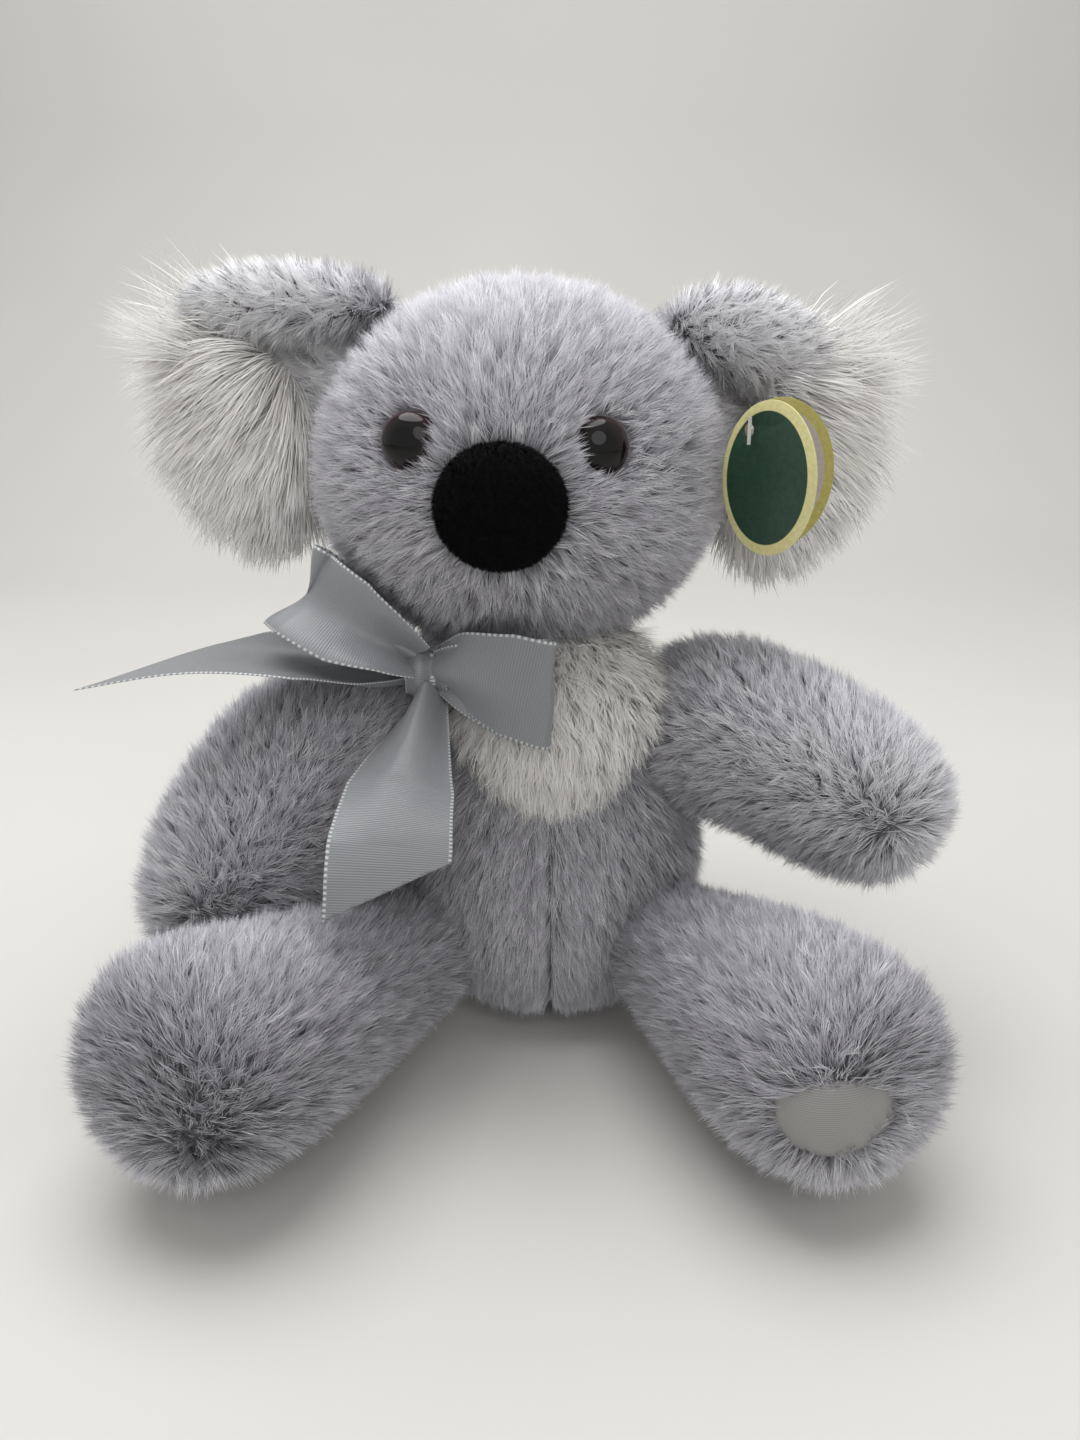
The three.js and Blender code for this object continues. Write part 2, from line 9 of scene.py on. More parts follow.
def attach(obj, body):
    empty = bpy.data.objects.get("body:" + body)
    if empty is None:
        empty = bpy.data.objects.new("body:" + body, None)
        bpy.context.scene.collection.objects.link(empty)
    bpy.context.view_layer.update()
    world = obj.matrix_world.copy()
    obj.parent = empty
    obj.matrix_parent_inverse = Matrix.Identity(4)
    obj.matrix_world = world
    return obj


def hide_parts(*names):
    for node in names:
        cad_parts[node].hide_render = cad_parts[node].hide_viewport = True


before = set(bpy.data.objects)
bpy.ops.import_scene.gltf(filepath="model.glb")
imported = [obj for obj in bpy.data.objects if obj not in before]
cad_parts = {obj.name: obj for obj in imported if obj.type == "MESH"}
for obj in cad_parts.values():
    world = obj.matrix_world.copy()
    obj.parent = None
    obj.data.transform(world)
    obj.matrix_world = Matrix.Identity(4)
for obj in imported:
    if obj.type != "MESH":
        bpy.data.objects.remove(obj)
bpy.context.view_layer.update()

# The viewing place: a camera at 41 cm, looking down at 19 degrees as the photograph does.
# Its lens takes in an upright picture, a little wider than the toy.
bpy.ops.object.select_all(action="DESELECT")
bpy.ops.object.camera_add(location=(-0.003, -0.410, 0.253), rotation=(math.radians(71), 0, 0))
camera = bpy.context.object
camera.name = "camera"
camera.data.lens = 28.75
camera.data.sensor_width = 36
bpy.context.scene.camera = camera
bpy.context.scene.view_settings.view_transform = "Standard"

# The set: a pale seamless sweep of matt paper, which curves up behind the toy.
# It isn't part of the object.
def linear(code):
    """An sRGB hex colour as the linear colour that Blender works in."""
    parts = [int(code[i:i + 2], 16) / 255 for i in (1, 3, 5)]
    return tuple(c / 12.92 if c <= 0.04045 else ((c + 0.055) / 1.055) ** 2.4 for c in parts) + (1,)


def plug(node, links=None, inputs=None):
    """Links the node's sockets named in links, and sets those named in inputs."""
    for key, value in (inputs or {}).items():
        node.inputs[key].default_value = value
    for key, source in (links or {}).items():
        node.id_data.links.new(source, node.inputs[key])


def add(tree, kind, links=None, inputs=None, stops=(), **settings):
    """Adds one node with its settings, its links and its inputs. A colour ramp has stops."""
    node = tree.nodes.new(kind)
    for key, value in settings.items():
        setattr(node, key, value)
    plug(node, links, inputs)
    if stops:
        elements = node.color_ramp.elements
        while len(elements) < len(stops):
            elements.new(1)
        for element, (place, code) in zip(elements, stops):
            element.position = place
            element.color = linear(code)
    return node


def material(name):
    """A new material with a bare Principled shader, and its tree."""
    made = bpy.data.materials.new(name)
    made.use_nodes = True
    return made, made.node_tree, made.node_tree.nodes["Principled BSDF"]


def grained(name, stops, **noise):
    """A material whose colour wavers between its stops by a fine noise. Its tree and the noise come too."""
    made, tree, shader = material(name)
    place = add(tree, "ShaderNodeTexCoord")
    grain = add(tree, "ShaderNodeTexNoise", {"Vector": place.outputs["Object"]}, noise)
    colour = add(tree, "ShaderNodeValToRGB", {"Fac": grain.outputs["Fac"]}, stops=stops)
    tree.links.new(colour.outputs["Color"], shader.inputs["Base Color"])
    return made, tree, shader, grain.outputs["Fac"]


bpy.ops.mesh.primitive_plane_add(size=1, location=(0, 0, 0))
sweep = bpy.context.object
sweep.name = "backdrop_sweep"
SWEEP_START, SWEEP_BEND, SWEEP_TOP, SWEEP_SIDE, SWEEP_RADIUS = -1.6, 0.75, 3.2, 3.0, 0.5
turns = np.linspace(0.1, math.pi / 2, 14)
profile = [(SWEEP_START, 0.0), (SWEEP_BEND, 0.0)]
profile += [(SWEEP_BEND + SWEEP_RADIUS * math.sin(a), SWEEP_RADIUS * (1 - math.cos(a))) for a in turns]
profile += [(SWEEP_BEND + SWEEP_RADIUS, SWEEP_TOP)]
sweep_points = [(x, y, z) for y, z in profile for x in (-SWEEP_SIDE, SWEEP_SIDE)]
sweep_faces = [(2 * i, 2 * i + 1, 2 * i + 3, 2 * i + 2) for i in range(len(profile) - 1)]
sweep.data.clear_geometry()
sweep.data.from_pydata(sweep_points, [], sweep_faces)
bpy.ops.object.shade_smooth()
paper, _, shader, _ = grained("matt_paper", [(0.3, "#cecdca"), (0.7, "#d2d1ce")], Scale=3.0)
plug(shader, inputs={"Roughness": 0.9})
sweep.data.materials.append(paper)

# The light: one broad soft lamp above and behind, as from a window over the table, a weaker one
# in front, and the pale room all round.
for name, place, size, power, aim in [
    ("window_lamp", (-0.15, 0.1, 1.35), 1.3, 17.0, (0.0, -0.02, 0.1)),
    ("front_lamp", (0.35, -1.5, 1.1), 1.2, 5.4, (0.0, 0.0, 0.12)),
]:
    bpy.ops.object.light_add(type="AREA", location=place)
    lamp = bpy.context.object
    lamp.name = name
    lamp.data.shape = "DISK"
    lamp.data.size = size
    lamp.data.energy = power
    lamp.rotation_euler = (Vector(aim) - Vector(place)).to_track_quat("-Z", "Y").to_euler()
ROOM_LIGHT, ROOM_SEEN = 0.62, 0.8  # how bright the room lights the toy, and how bright it looks
world = bpy.data.worlds.new("pale_room")
bpy.context.scene.world = world
world.use_nodes = True
room = world.node_tree.nodes["Background"]
room.inputs["Color"].default_value = linear("#eceae8")
rays = add(world.node_tree, "ShaderNodeLightPath")
seen = rays.outputs["Is Camera Ray"]
for kind in ("Is Glossy Ray", "Is Transmission Ray"):
    either = add(world.node_tree, "ShaderNodeMath", {0: seen, 1: rays.outputs[kind]}, operation="ADD")
    seen = either.outputs["Value"]
glow = add(world.node_tree, "ShaderNodeMapRange", {"Value": seen},
           {"To Min": ROOM_LIGHT, "To Max": ROOM_SEEN})
world.node_tree.links.new(glow.outputs["Result"], room.inputs["Strength"])


# Body: a pear of dyed knitted backing, sewn from panels with a seam down the belly, and stuffed firm.
# The cloth is swollen by a short simulation, so that it pulls in along its seam.
MM = 0.001


def active(piece):
    bpy.ops.object.select_all(action="DESELECT")
    piece.select_set(True)
    bpy.context.view_layer.objects.active = piece


def points_of(piece):
    points = np.empty(len(piece.data.vertices) * 3)
    piece.data.vertices.foreach_get("co", points)
    return points.reshape(-1, 3)


def normals_of(piece):
    normals = np.empty(len(piece.data.vertices) * 3)
    piece.data.vertex_normals.foreach_get("vector", normals)
    return normals.reshape(-1, 3)


def move_points(piece, points):
    piece.data.vertices.foreach_set("co", points.ravel())
    piece.data.update()


def apply(piece, kind, **settings):
    """Gives the active piece a modifier with these settings, and applies it."""
    modifier = piece.modifiers.new(kind, kind)
    for key, value in settings.items():
        setattr(modifier, key, value)
    bpy.ops.object.modifier_apply(modifier=modifier.name)


def ball(name, place, segments=40, rings=28):
    """A ball whose every point is moved to where place() puts it; place() takes unit vectors in rows."""
    bpy.ops.object.select_all(action="DESELECT")
    bpy.ops.mesh.primitive_uv_sphere_add(segments=segments, ring_count=rings, radius=1, location=(0, 0, 0))
    made = bpy.context.object
    made.name = name
    move_points(made, place(points_of(made)) * MM)
    return made


def joined(name, *pieces):
    """Several meshes as one object."""
    bpy.ops.object.select_all(action="DESELECT")
    for piece in pieces:
        piece.select_set(True)
    bpy.context.view_layer.objects.active = pieces[0]
    bpy.ops.object.join()
    pieces[0].name = name
    return pieces[0]


def stuff(piece, voxel=4.6, cap=2.0):
    """Remeshes a form as cloth, blows it up by up to cap mm as stuffing does, and smooths it."""
    active(piece)
    piece.data.remesh_voxel_size = voxel * MM
    bpy.ops.object.voxel_remesh()
    apply(piece, "SMOOTH", iterations=6)
    before = points_of(piece)
    cloth = piece.modifiers.new("cloth", "CLOTH")
    cloth.settings.use_pressure = True
    cloth.settings.uniform_pressure_force = 4.0
    cloth.settings.effector_weights.gravity = 0
    cloth.settings.quality = 4
    cloth.settings.tension_stiffness = 30
    cloth.settings.compression_stiffness = 30
    for step in range(12):
        bpy.context.scene.frame_set(step + 1)
    after = points_of(piece.evaluated_get(bpy.context.evaluated_depsgraph_get()))
    piece.modifiers.remove(cloth)
    bpy.context.scene.frame_set(1)
    moved = after - before
    far = np.linalg.norm(moved, axis=1, keepdims=True)
    moved *= np.minimum(1, cap * MM / np.maximum(far, 1e-9))
    move_points(piece, before + moved)
    apply(piece, "SUBSURF", levels=1, render_levels=1)
    bpy.ops.object.shade_smooth()
    return piece


NO_SEAM = 99  # a gap in mm at which a seam has no pull


def pinch(piece, gap, depth, width):
    """Draws the cloth in along a seam; gap() gives each point's distance from the seam in mm."""
    points = points_of(piece)
    drawn = depth * MM * np.exp(-(gap(points / MM) / width) ** 2)
    move_points(piece, points - normals_of(piece) * drawn[:, None])


def fit(piece, stock, node, body):
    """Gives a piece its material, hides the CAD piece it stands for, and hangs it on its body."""
    piece.data.materials.append(stock)
    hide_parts(node)
    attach(piece, body)


BODY_WIDTH, BODY_DEPTH, BODY_HEIGHT = 121, 114, 131
BODY_OUTLINE = [(0, 0), (0.42, 0), (0.78, 0.09), (0.96, 0.28), (1, 0.47), (0.95, 0.68), (0.85, 0.84),
                (0.66, 0.96), (0, 1)]  # half the width and the height, as shares
BODY_INSET = 4  # how far the backing lies in from the fur's tips at the seat and the top
BELLY_SEAM, SEAM_BOTTOM = -1, 24
KNOB, KNOB_RADIUS = np.array([-8, -8, 136]), 36  # the stuffed knob that the head turns on
PILE_HEIGHT = 4.8  # how far the laid fur stands off the backing


def body_place(unit):
    across = np.linalg.norm(unit[:, :2], axis=1)
    share = np.arctan2(across, -unit[:, 2]) / math.pi
    outline = np.array(BODY_OUTLINE)
    lengths = np.r_[0, np.cumsum(np.hypot(*np.diff(outline, axis=0).T))]
    at = share * lengths[-1]
    radius = np.interp(at, lengths, outline[:, 0]) * BODY_WIDTH / 2 - PILE_HEIGHT * np.minimum(1, across * 2)
    height = np.interp(at, lengths, outline[:, 1]) * (BODY_HEIGHT - 2 * BODY_INSET) + BODY_INSET
    way = unit[:, :2] / np.maximum(across, 1e-6)[:, None]
    return np.c_[way[:, 0] * radius, way[:, 1] * radius * BODY_DEPTH / BODY_WIDTH, height]


def belly_gap(points):
    """How far points lie from the belly's seam, and too far to count where there is none."""
    on_belly = (points[:, 1] < 0) & (points[:, 2] > SEAM_BOTTOM)
    return np.where(on_belly, points[:, 0] - BELLY_SEAM, NO_SEAM)


def backing(name, loops):
    """Knitted backing cloth, with a loop about every 1.1 mm and no shine."""
    made, tree, shader = material(name)
    knitted = add(tree, "ShaderNodeTexVoronoi", {"Vector": add(tree, "ShaderNodeTexCoord").outputs["Object"]},
                  {"Scale": 900.0})
    colour = add(tree, "ShaderNodeValToRGB", {"Fac": knitted.outputs["Distance"]}, stops=loops)
    plug(shader, {"Base Color": colour.outputs["Color"]}, {"Roughness": 0.95})
    return made


body = ball("body", body_place)
knob = ball("knob", lambda unit: KNOB + unit * KNOB_RADIUS)
body_skin = stuff(joined("body_skin", body, knob))
pinch(body_skin, belly_gap, depth=2.0, width=2.2)
knit = backing("dyed_knit_backing", [(0.0, "#77767b"), (0.6, "#616065")])
fit(body_skin, knit, "torso_shell", "torso")


# Limbs: tubes of the same plush, each closed by a seam round its end and stuffed softer than the body.
# They are sewn into the body's side seams at the shoulders and hips.
FULLNESS = 3.4  # how square a limb's ends are: 2 would be a half ball
END_SHARE = 0.45  # how far a limb's round end reaches past its last point, as a share of its width


def sleeve_place(points, widths, inset):
    """Places a ball's points as a stuffed tube along a bend, with widths that follow it from root to end."""
    root, bend, end = (np.array(point, float) for point in points)
    tip = end + (end - bend) / np.linalg.norm(end - bend) * widths[-1] * END_SHARE
    dense = np.linspace(0, 1, 65)[:, None]
    curve = (1 - dense) ** 2 * root + 2 * dense * (1 - dense) * bend + dense ** 2 * tip
    length = np.linalg.norm(np.diff(curve, axis=0), axis=1).sum()

    def place(unit):
        along = unit[:, 2]
        share = (1 + along * (1 - 2 * inset / length)) / 2
        t = share[:, None]
        middle = (1 - t) ** 2 * root + 2 * t * (1 - t) * bend + t ** 2 * tip
        heading = 2 * (1 - t) * (bend - root) + 2 * t * (tip - bend)
        heading /= np.linalg.norm(heading, axis=1, keepdims=True)
        side = np.cross(heading, (0, 0, 1))
        side /= np.linalg.norm(side, axis=1, keepdims=True)
        third = np.cross(side, heading)
        swell = np.interp(share, np.linspace(0, 1, len(widths)), widths)
        full = np.maximum(0, 1 - np.abs(along) ** FULLNESS) ** (1 / FULLNESS)
        ring = np.maximum(np.linalg.norm(unit[:, :2], axis=1), 1e-6)
        radius = (swell / 2 - inset) * full / ring
        return middle + side * (unit[:, 0] * radius)[:, None] + third * (unit[:, 1] * radius)[:, None]
    return place


def near(points, target, spread):
    """How near each point is to the target: 1 there, and fading to nothing over spread mm or so."""
    return np.exp(-((points - np.array(target)) ** 2).sum(axis=1) / (2 * spread ** 2))


LIMBS = {
    "arm_right": ([(-47, -5, 107), (-85, -17, 120), (-112, -47, 66)], (66, 79, 72)),
    "arm_left": ([(47, -5, 106), (61, -20, 130), (111, -44, 98)], (74, 67, 67)),
    "leg_right": ([(-36, -16, 33), (-77, -66, 30), (-98, -110, 46)], (52, 56, 76, 96)),
    "leg_left": ([(37, -16, 33), (53, -63, 42), (78, -110, 45.5)], (50, 54, 72, 92)),
}
PRESSED, PRESSED_SPREAD, PRESSED_BY = (-112, -84, 88), 19, (0, 5, -12)  # the paw's weight on the ankle
skins = {"body": body_skin}
for limb, (points, widths) in LIMBS.items():
    skin = stuff(ball(limb + "_skin", sleeve_place(points, widths, PILE_HEIGHT), 32, 28))
    if limb == "leg_right":
        places = points_of(skin)
        dent = near(places / MM, PRESSED, PRESSED_SPREAD)
        move_points(skin, places + np.outer(dent, PRESSED_BY) * MM)
    fit(skin, knit, limb + "_shell", limb)
    skins[limb] = skin

# Head: a firm round ball of the same plush with a low muzzle and a hollow for each eye.
# A seam runs up its face, and it closes over the knob on the neck.
HEAD_SIZE, HEAD = np.array([139, 128, 123]), np.array([-9.8, -12, 206])
NOSE, NOSE_SIZE = np.array([-14.5, -76.5, 203]), np.array([38.4, 22.4, 36.4])
EYE_RADIUS, EYE_HEIGHT = 9, 6
EYES = {"right": ((-41.5, -61, 220), (-0.24, -0.95, 0.1)),  # each eye's place and the way it faces
        "left": ((14.5, -61.5, 218.5), (0.2, -0.96, 0.1))}


def head_place(unit):
    points = HEAD + unit * HEAD_SIZE / 2
    rise = 1 + 0.06 * near(points, NOSE, 26)
    for place, _ in EYES.values():
        rise -= 0.05 * near(points, place, 12)
    return HEAD + unit * (HEAD_SIZE / 2 * rise[:, None] - PILE_HEIGHT)


def face_gap(points):
    """How far points lie from the seam up the face, a little to the left of the nose's middle."""
    return np.where(points[:, 1] < -10, points[:, 0] - NOSE[0] - 1, NO_SEAM)


head_skin = stuff(ball("head_skin", head_place))
pinch(head_skin, face_gap, depth=1.2, width=2.2)
fit(head_skin, knit, "head_shell", "head")
skins["head"] = head_skin

# Ears: two panels sewn face to face and turned. The back panel is the grey plush and curls over at
# the top, and the front one is a white plush with a pile as long as a finger joint.
EARS = {
    "right": dict(centre=(-101, 2, 221), lean=-0.16, root=(-70, 3, 232), root_lean=0.29,
                  flap=(-85, -8, 259), flap_size=(80, 32, 30), flap_lean=0.02),
    "left": dict(centre=(82, 3, 214), lean=0.2, root=(50, 3, 229), root_lean=-0.29,
                 flap=(66, -9, 247), flap_size=(66, 32, 38), flap_lean=0.32),
}
EAR_SIZE = np.array([66, 30, 98])  # over the fur's tips, and the backing lies in from them by these
BACK_INSET, FRONT_INSET, FLAP_INSET = np.array([14, 14, 14]), np.array([26, 14, 26]), 11
ROLL_SIZE = np.array([20, 20, 58])  # the rolled edge that is sewn into the head
white_knit = backing("undyed_knit_backing", [(0.0, "#e6e4e0"), (0.6, "#d3d0cb")])


def leaned(unit, size, centre, lean):
    """A ball's points at a size and place, turned by lean in the plane of the face."""
    x, y, z = (unit * size / 2).T
    c, s = math.cos(lean), math.sin(lean)
    return np.array(centre) + np.c_[x * c + z * s, y, -x * s + z * c]


for side, ear in EARS.items():
    def back_place(unit):
        squashed = unit.copy()
        squashed[:, 1] = np.maximum(squashed[:, 1], -0.1)
        return leaned(squashed, EAR_SIZE - BACK_INSET, ear["centre"], ear["lean"])

    def front_place(unit):
        squashed = unit.copy()
        squashed[:, 1] = np.minimum(squashed[:, 1], 0.05)
        return leaned(squashed, EAR_SIZE - FRONT_INSET, np.array(ear["centre"]) + (0, -1, -4), ear["lean"])

    def flap_place(unit):
        return leaned(unit, np.array(ear["flap_size"]) - FLAP_INSET, ear["flap"], ear["flap_lean"])

    def roll_place(unit):
        return leaned(unit, ROLL_SIZE, ear["root"], ear["root_lean"])

    flap = ball("flap", flap_place)
    roll = ball("roll", roll_place)
    back = stuff(joined(f"ear_back_{side}_skin", ball("back", back_place), flap, roll), voxel=4.0, cap=1.0)
    front = stuff(ball(f"ear_front_{side}_skin", front_place), voxel=4.0, cap=1.0)
    for name, skin, stock, slot in (("ear_back", back, knit, "plush_grey"),
                                    ("ear_front", front, white_knit, "plush_white")):
        fit(skin, stock, f"{name}_{side}", f"ear_{side}")
        skins[f"{name}_{side}"] = skin

# Bib: a shield of the white plush set into the chest under the chin.
# It is sewn in by its edge and comes to a point on the belly.
BIB_SIZE, BIB, BIB_TIP = np.array([86, 88, 84]), np.array([1, -17, 123]), np.array([1, 0, 80])
BIB_INSET, BIB_SLANT = 5, 0.75  # the backing's depth under the fur, and how fast the shield widens upward


def bib_place(unit):
    kept = unit.copy()
    kept[:, 1] = np.minimum(kept[:, 1], 0)
    points = BIB + kept * (BIB_SIZE / 2 - BIB_INSET)
    room = np.maximum(1.0, (points[:, 2] - BIB_TIP[2] - 2) * BIB_SLANT)
    points[:, 0] = BIB_TIP[0] + np.clip(points[:, 0] - BIB_TIP[0], -room, room)
    return points


bib_skin = stuff(ball("bib_skin", bib_place), voxel=4.0, cap=1.0)
fit(bib_skin, white_knit, "chest_bib", "torso")
skins["bib"] = bib_skin


# Pile: the plush's cut fur, 10 to 12 mm of fine polyester that clumps into small tufts, with
# silvery tips and darker roots. It is combed out from the nose, the paws and the soles. The hairs
# are drawn some ten times as thick and as sparse as real ones, so that they show.
def fur(name, tips, roots):
    """A fur's colour, across its map by each hair's tone and up it from root to tip."""
    made, tree, shader = material(name)
    hair_map = add(tree, "ShaderNodeUVMap", uv_map="OFBake")
    place = add(tree, "ShaderNodeSeparateXYZ", {"Vector": hair_map.outputs["UV"]})
    light = add(tree, "ShaderNodeValToRGB", {"Fac": place.outputs["X"]}, stops=tips)
    dark = add(tree, "ShaderNodeValToRGB", {"Fac": place.outputs["X"]}, stops=roots)
    rise = add(tree, "ShaderNodeMapRange", {"Value": place.outputs["Y"]}, {"From Min": 0.0, "From Max": 0.85})
    mix = add(tree, "ShaderNodeMix", {"Factor": rise.outputs["Result"], 6: dark.outputs["Color"],
                                      7: light.outputs["Color"]}, data_type="RGBA")
    plug(shader, {"Base Color": mix.outputs[2]},
         {"Roughness": 0.7, "Sheen Weight": 0.25, "Sheen Roughness": 0.4})
    return made


grey_pile = fur("silver_tipped_polyester_pile",
                [(0.0, "#a8a7ae"), (0.5, "#d4d3db"), (1.0, "#fbfbff")],
                [(0.0, "#66656a"), (1.0, "#96959b")])
frosted_pile = fur("frosted_polyester_pile",
                   [(0.0, "#b5b4bb"), (0.4, "#d6d5dc"), (1.0, "#fefeff")],
                   [(0.0, "#77767b"), (0.4, "#a9a8ae"), (1.0, "#e6e5eb")])
white_pile = fur("white_long_pile",
                 [(0.0, "#efedea"), (0.5, "#f9f8f6"), (1.0, "#fefefd")],
                 [(0.0, "#dedbd7"), (1.0, "#efedea")])


def triangles_of(piece):
    """Each triangle's three points, as numbers into points_of()."""
    piece.data.calc_loop_triangles()
    corners = np.empty(len(piece.data.loop_triangles) * 3, np.int32)
    piece.data.loop_triangles.foreach_get("vertices", corners)
    return corners.reshape(-1, 3)


def tree_of(piece):
    return BVHTree.FromPolygons(points_of(piece).tolist(), triangles_of(piece).tolist())


def buried(roots, others, depth):
    """Which roots lie deeper than depth inside any of the other skins."""
    lost = np.zeros(len(roots), bool)
    for other in others:
        points = points_of(other)
        low, high = points.min(axis=0), points.max(axis=0)
        tree = tree_of(other)
        for i in np.nonzero(((roots > low) & (roots < high)).all(axis=1) & ~lost)[0]:
            place, normal, _, _ = tree.find_nearest(roots[i])
            lost[i] = (Vector(roots[i]) - place).dot(normal) < -depth
    return lost


def one_long(ways):
    """Each row brought to length 1."""
    return ways / np.maximum(np.linalg.norm(ways, axis=1, keepdims=True), 1e-9)


def turned(ways, about, angles):
    """Each row turned by its angle about its own axis, which is square to it."""
    return ways * np.cos(angles)[:, None] + np.cross(about, ways) * np.sin(angles)[:, None]


def scattered(skin, density, rng):
    """Random places on a skin, density of them on each square mm, and the way out from it at each."""
    faces = triangles_of(skin)
    corners = points_of(skin)[faces]
    area = np.linalg.norm(np.cross(corners[:, 1] - corners[:, 0], corners[:, 2] - corners[:, 0]), axis=1) / 2
    count = int(area.sum() / MM ** 2 * density)
    pick = rng.choice(len(faces), count, p=area / area.sum())
    a, b = rng.random((2, count, 1))
    fold = a + b > 1
    a, b = np.where(fold, 1 - a, a), np.where(fold, 1 - b, b)

    def mixed(values):
        return values[:, 0] + a * (values[:, 1] - values[:, 0]) + b * (values[:, 2] - values[:, 0])
    return mixed(corners[pick]), one_long(mixed(normals_of(skin)[faces[pick]]))


def tufts_of(roots, tufts, rng):
    """Picks the middle hair of each tuft, and gives each hair the number of the nearest one."""
    middles = rng.choice(len(roots), tufts, replace=False)
    nearest = KDTree(tufts)
    for i, middle in enumerate(middles):
        nearest.insert(roots[middle], i)
    nearest.balance()
    return middles, np.array([nearest.find(root)[1] for root in roots])


def blades(name, spine, half, up, level, softness):
    """One mesh of flat hairs. spine has the hairs' places at each step, half is half a hair's width
    as a vector, level is its tone, and softness is how far it is lit as the skin under it is."""
    steps, count = len(spine) - 1, len(up)
    rows = []
    for k in range(steps):
        taper = 1 - 0.35 * k / steps
        rows += [spine[k] - half * taper, spine[k] + half * taper]
    rows.append(spine[steps])
    rows = [np.c_[row[:, :2], np.maximum(row[:, 2], FLOOR)] for row in rows]
    per = len(rows)
    verts = np.stack(rows, axis=1).reshape(-1, 3)
    one = []
    for k in range(steps - 1):
        one += [(2 * k, 2 * k + 1, 2 * k + 3), (2 * k, 2 * k + 3, 2 * k + 2)]
    one.append((2 * steps - 2, 2 * steps - 1, 2 * steps))
    tris = (np.array(one)[None] + per * np.arange(count)[:, None, None]).reshape(-1)
    across = np.array([-0.004, 0.004] * steps + [0.0])
    rising = np.array([k / steps for k in range(steps) for _ in (0, 1)] + [1.0])
    maps = np.stack([np.broadcast_to(level[:, None] + across, (count, per)),
                     np.broadcast_to(rising, (count, per))], axis=2).reshape(-1, 2)
    mesh = bpy.data.meshes.new(name)
    mesh.vertices.add(len(verts))
    mesh.vertices.foreach_set("co", verts.ravel())
    mesh.loops.add(len(tris))
    mesh.loops.foreach_set("vertex_index", tris.astype(np.int32))
    mesh.polygons.add(len(tris) // 3)
    mesh.polygons.foreach_set("loop_start", np.arange(0, len(tris), 3, dtype=np.int32))
    mesh.polygons.foreach_set("use_smooth", np.ones(len(tris) // 3, bool))
    layer = mesh.uv_layers.new(name="OFBake")
    layer.data.foreach_set("uv", maps[tris].ravel().astype(np.float32))
    mesh.update()
    own = np.empty(len(verts) * 3)
    mesh.vertex_normals.foreach_get("vector", own)
    soft = (1 - softness) * own.reshape(-1, 3) + softness * np.repeat(up, per, axis=0)
    soft /= np.linalg.norm(soft, axis=1, keepdims=True)
    mesh.normals_split_custom_set_from_vertices(soft)
    return mesh


FLOOR = 0.2 * MM  # no hair reaches under this
STIFF = 0.6  # how upright a hair's root is, as a share of its lean
SOFTNESS = 0.7  # how far the hairs are lit as the skin under them is


def pile(name, skin, body, density, length, flow, keep=None, others=(), lean=60, width=0.3, steps=1,
         droop=0.0, clump=1.7, gather=0.35, ruffle=0.22, tone=None, seed=1, finish=grey_pile):
    """Grows hairs from a skin. length, width and clump are in mm, density is hairs on a square mm, and
    flow, keep and tone give each root's direction, whether it stays, and how light it is."""
    rng = np.random.default_rng(seed)
    roots, up = scattered(skin, density, rng)
    if keep is not None:
        stay = keep(roots / MM, up)
        roots, up = roots[stay], up[stay]
    if others:
        stay = ~buried(roots, others, 5 * MM)
        roots, up = roots[stay], up[stay]
    count = len(roots)
    tufts = max(8, int(count / density / clump ** 2 * 1.2))
    middles, tuft = tufts_of(roots, tufts, rng)
    way = flow(roots / MM, up)
    laid = np.clip(np.linalg.norm(way, axis=1), 0, 1)[:, None]  # hairs near the pole of a comb lie anyhow
    way = way + (1 - laid) * rng.normal(0, 0.5, (tufts, 3))[tuft]
    way = one_long(way - (way * up).sum(axis=1, keepdims=True) * up)
    way = turned(way, up, rng.normal(0, ruffle, tufts)[tuft] + rng.normal(0, 0.16, count))
    tilt = lean * (0.7 + 0.3 * laid[:, 0]) + rng.normal(0, 9, tufts)[tuft] + rng.normal(0, 5, count)
    tilt = np.radians(tilt)
    reach = length(roots / MM, up) if callable(length) else length
    reach = reach * MM * (rng.uniform(0.82, 1.08, tufts)[tuft] * rng.uniform(0.75, 1.1, count))
    shift = (roots[middles][tuft] - roots) * gather
    spine = [roots]
    for k in range(steps):
        part = (k + 0.5) / steps
        angle = tilt * (STIFF + (1.25 - STIFF) * part)
        heading = up * np.cos(angle)[:, None] + way * np.sin(angle)[:, None]
        heading[:, 2] -= droop * part
        heading /= np.linalg.norm(heading, axis=1, keepdims=True)
        spine.append(spine[-1] + heading * (reach / steps)[:, None] + shift / steps)
    heading = one_long(spine[-1] - spine[0])
    side = turned(one_long(np.cross(heading, up)), heading, rng.uniform(-1.0, 1.0, count))
    half = side * (width * MM / 2 * rng.uniform(0.75, 1.25, count))[:, None]
    level = rng.normal(0.5, 0.22, tufts)[tuft] + rng.normal(0, 0.1, count)
    if tone is not None:
        level = level + tone(roots / MM, up)
    mesh = blades(name, spine, half, up, np.clip(level, 0.03, 0.97), SOFTNESS)
    mesh.materials.append(finish)
    made = bpy.data.objects.new(name, mesh)
    bpy.context.collection.objects.link(made)
    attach(made, body)


def even(*way):
    """A comb that lays every hair the same way."""
    return lambda roots, up: np.tile(way, (len(roots), 1))


def away(place):
    """A comb that lays the hairs away from a place, all the way down from 24 mm off."""
    return lambda roots, up: (roots - np.array(place)) / 24


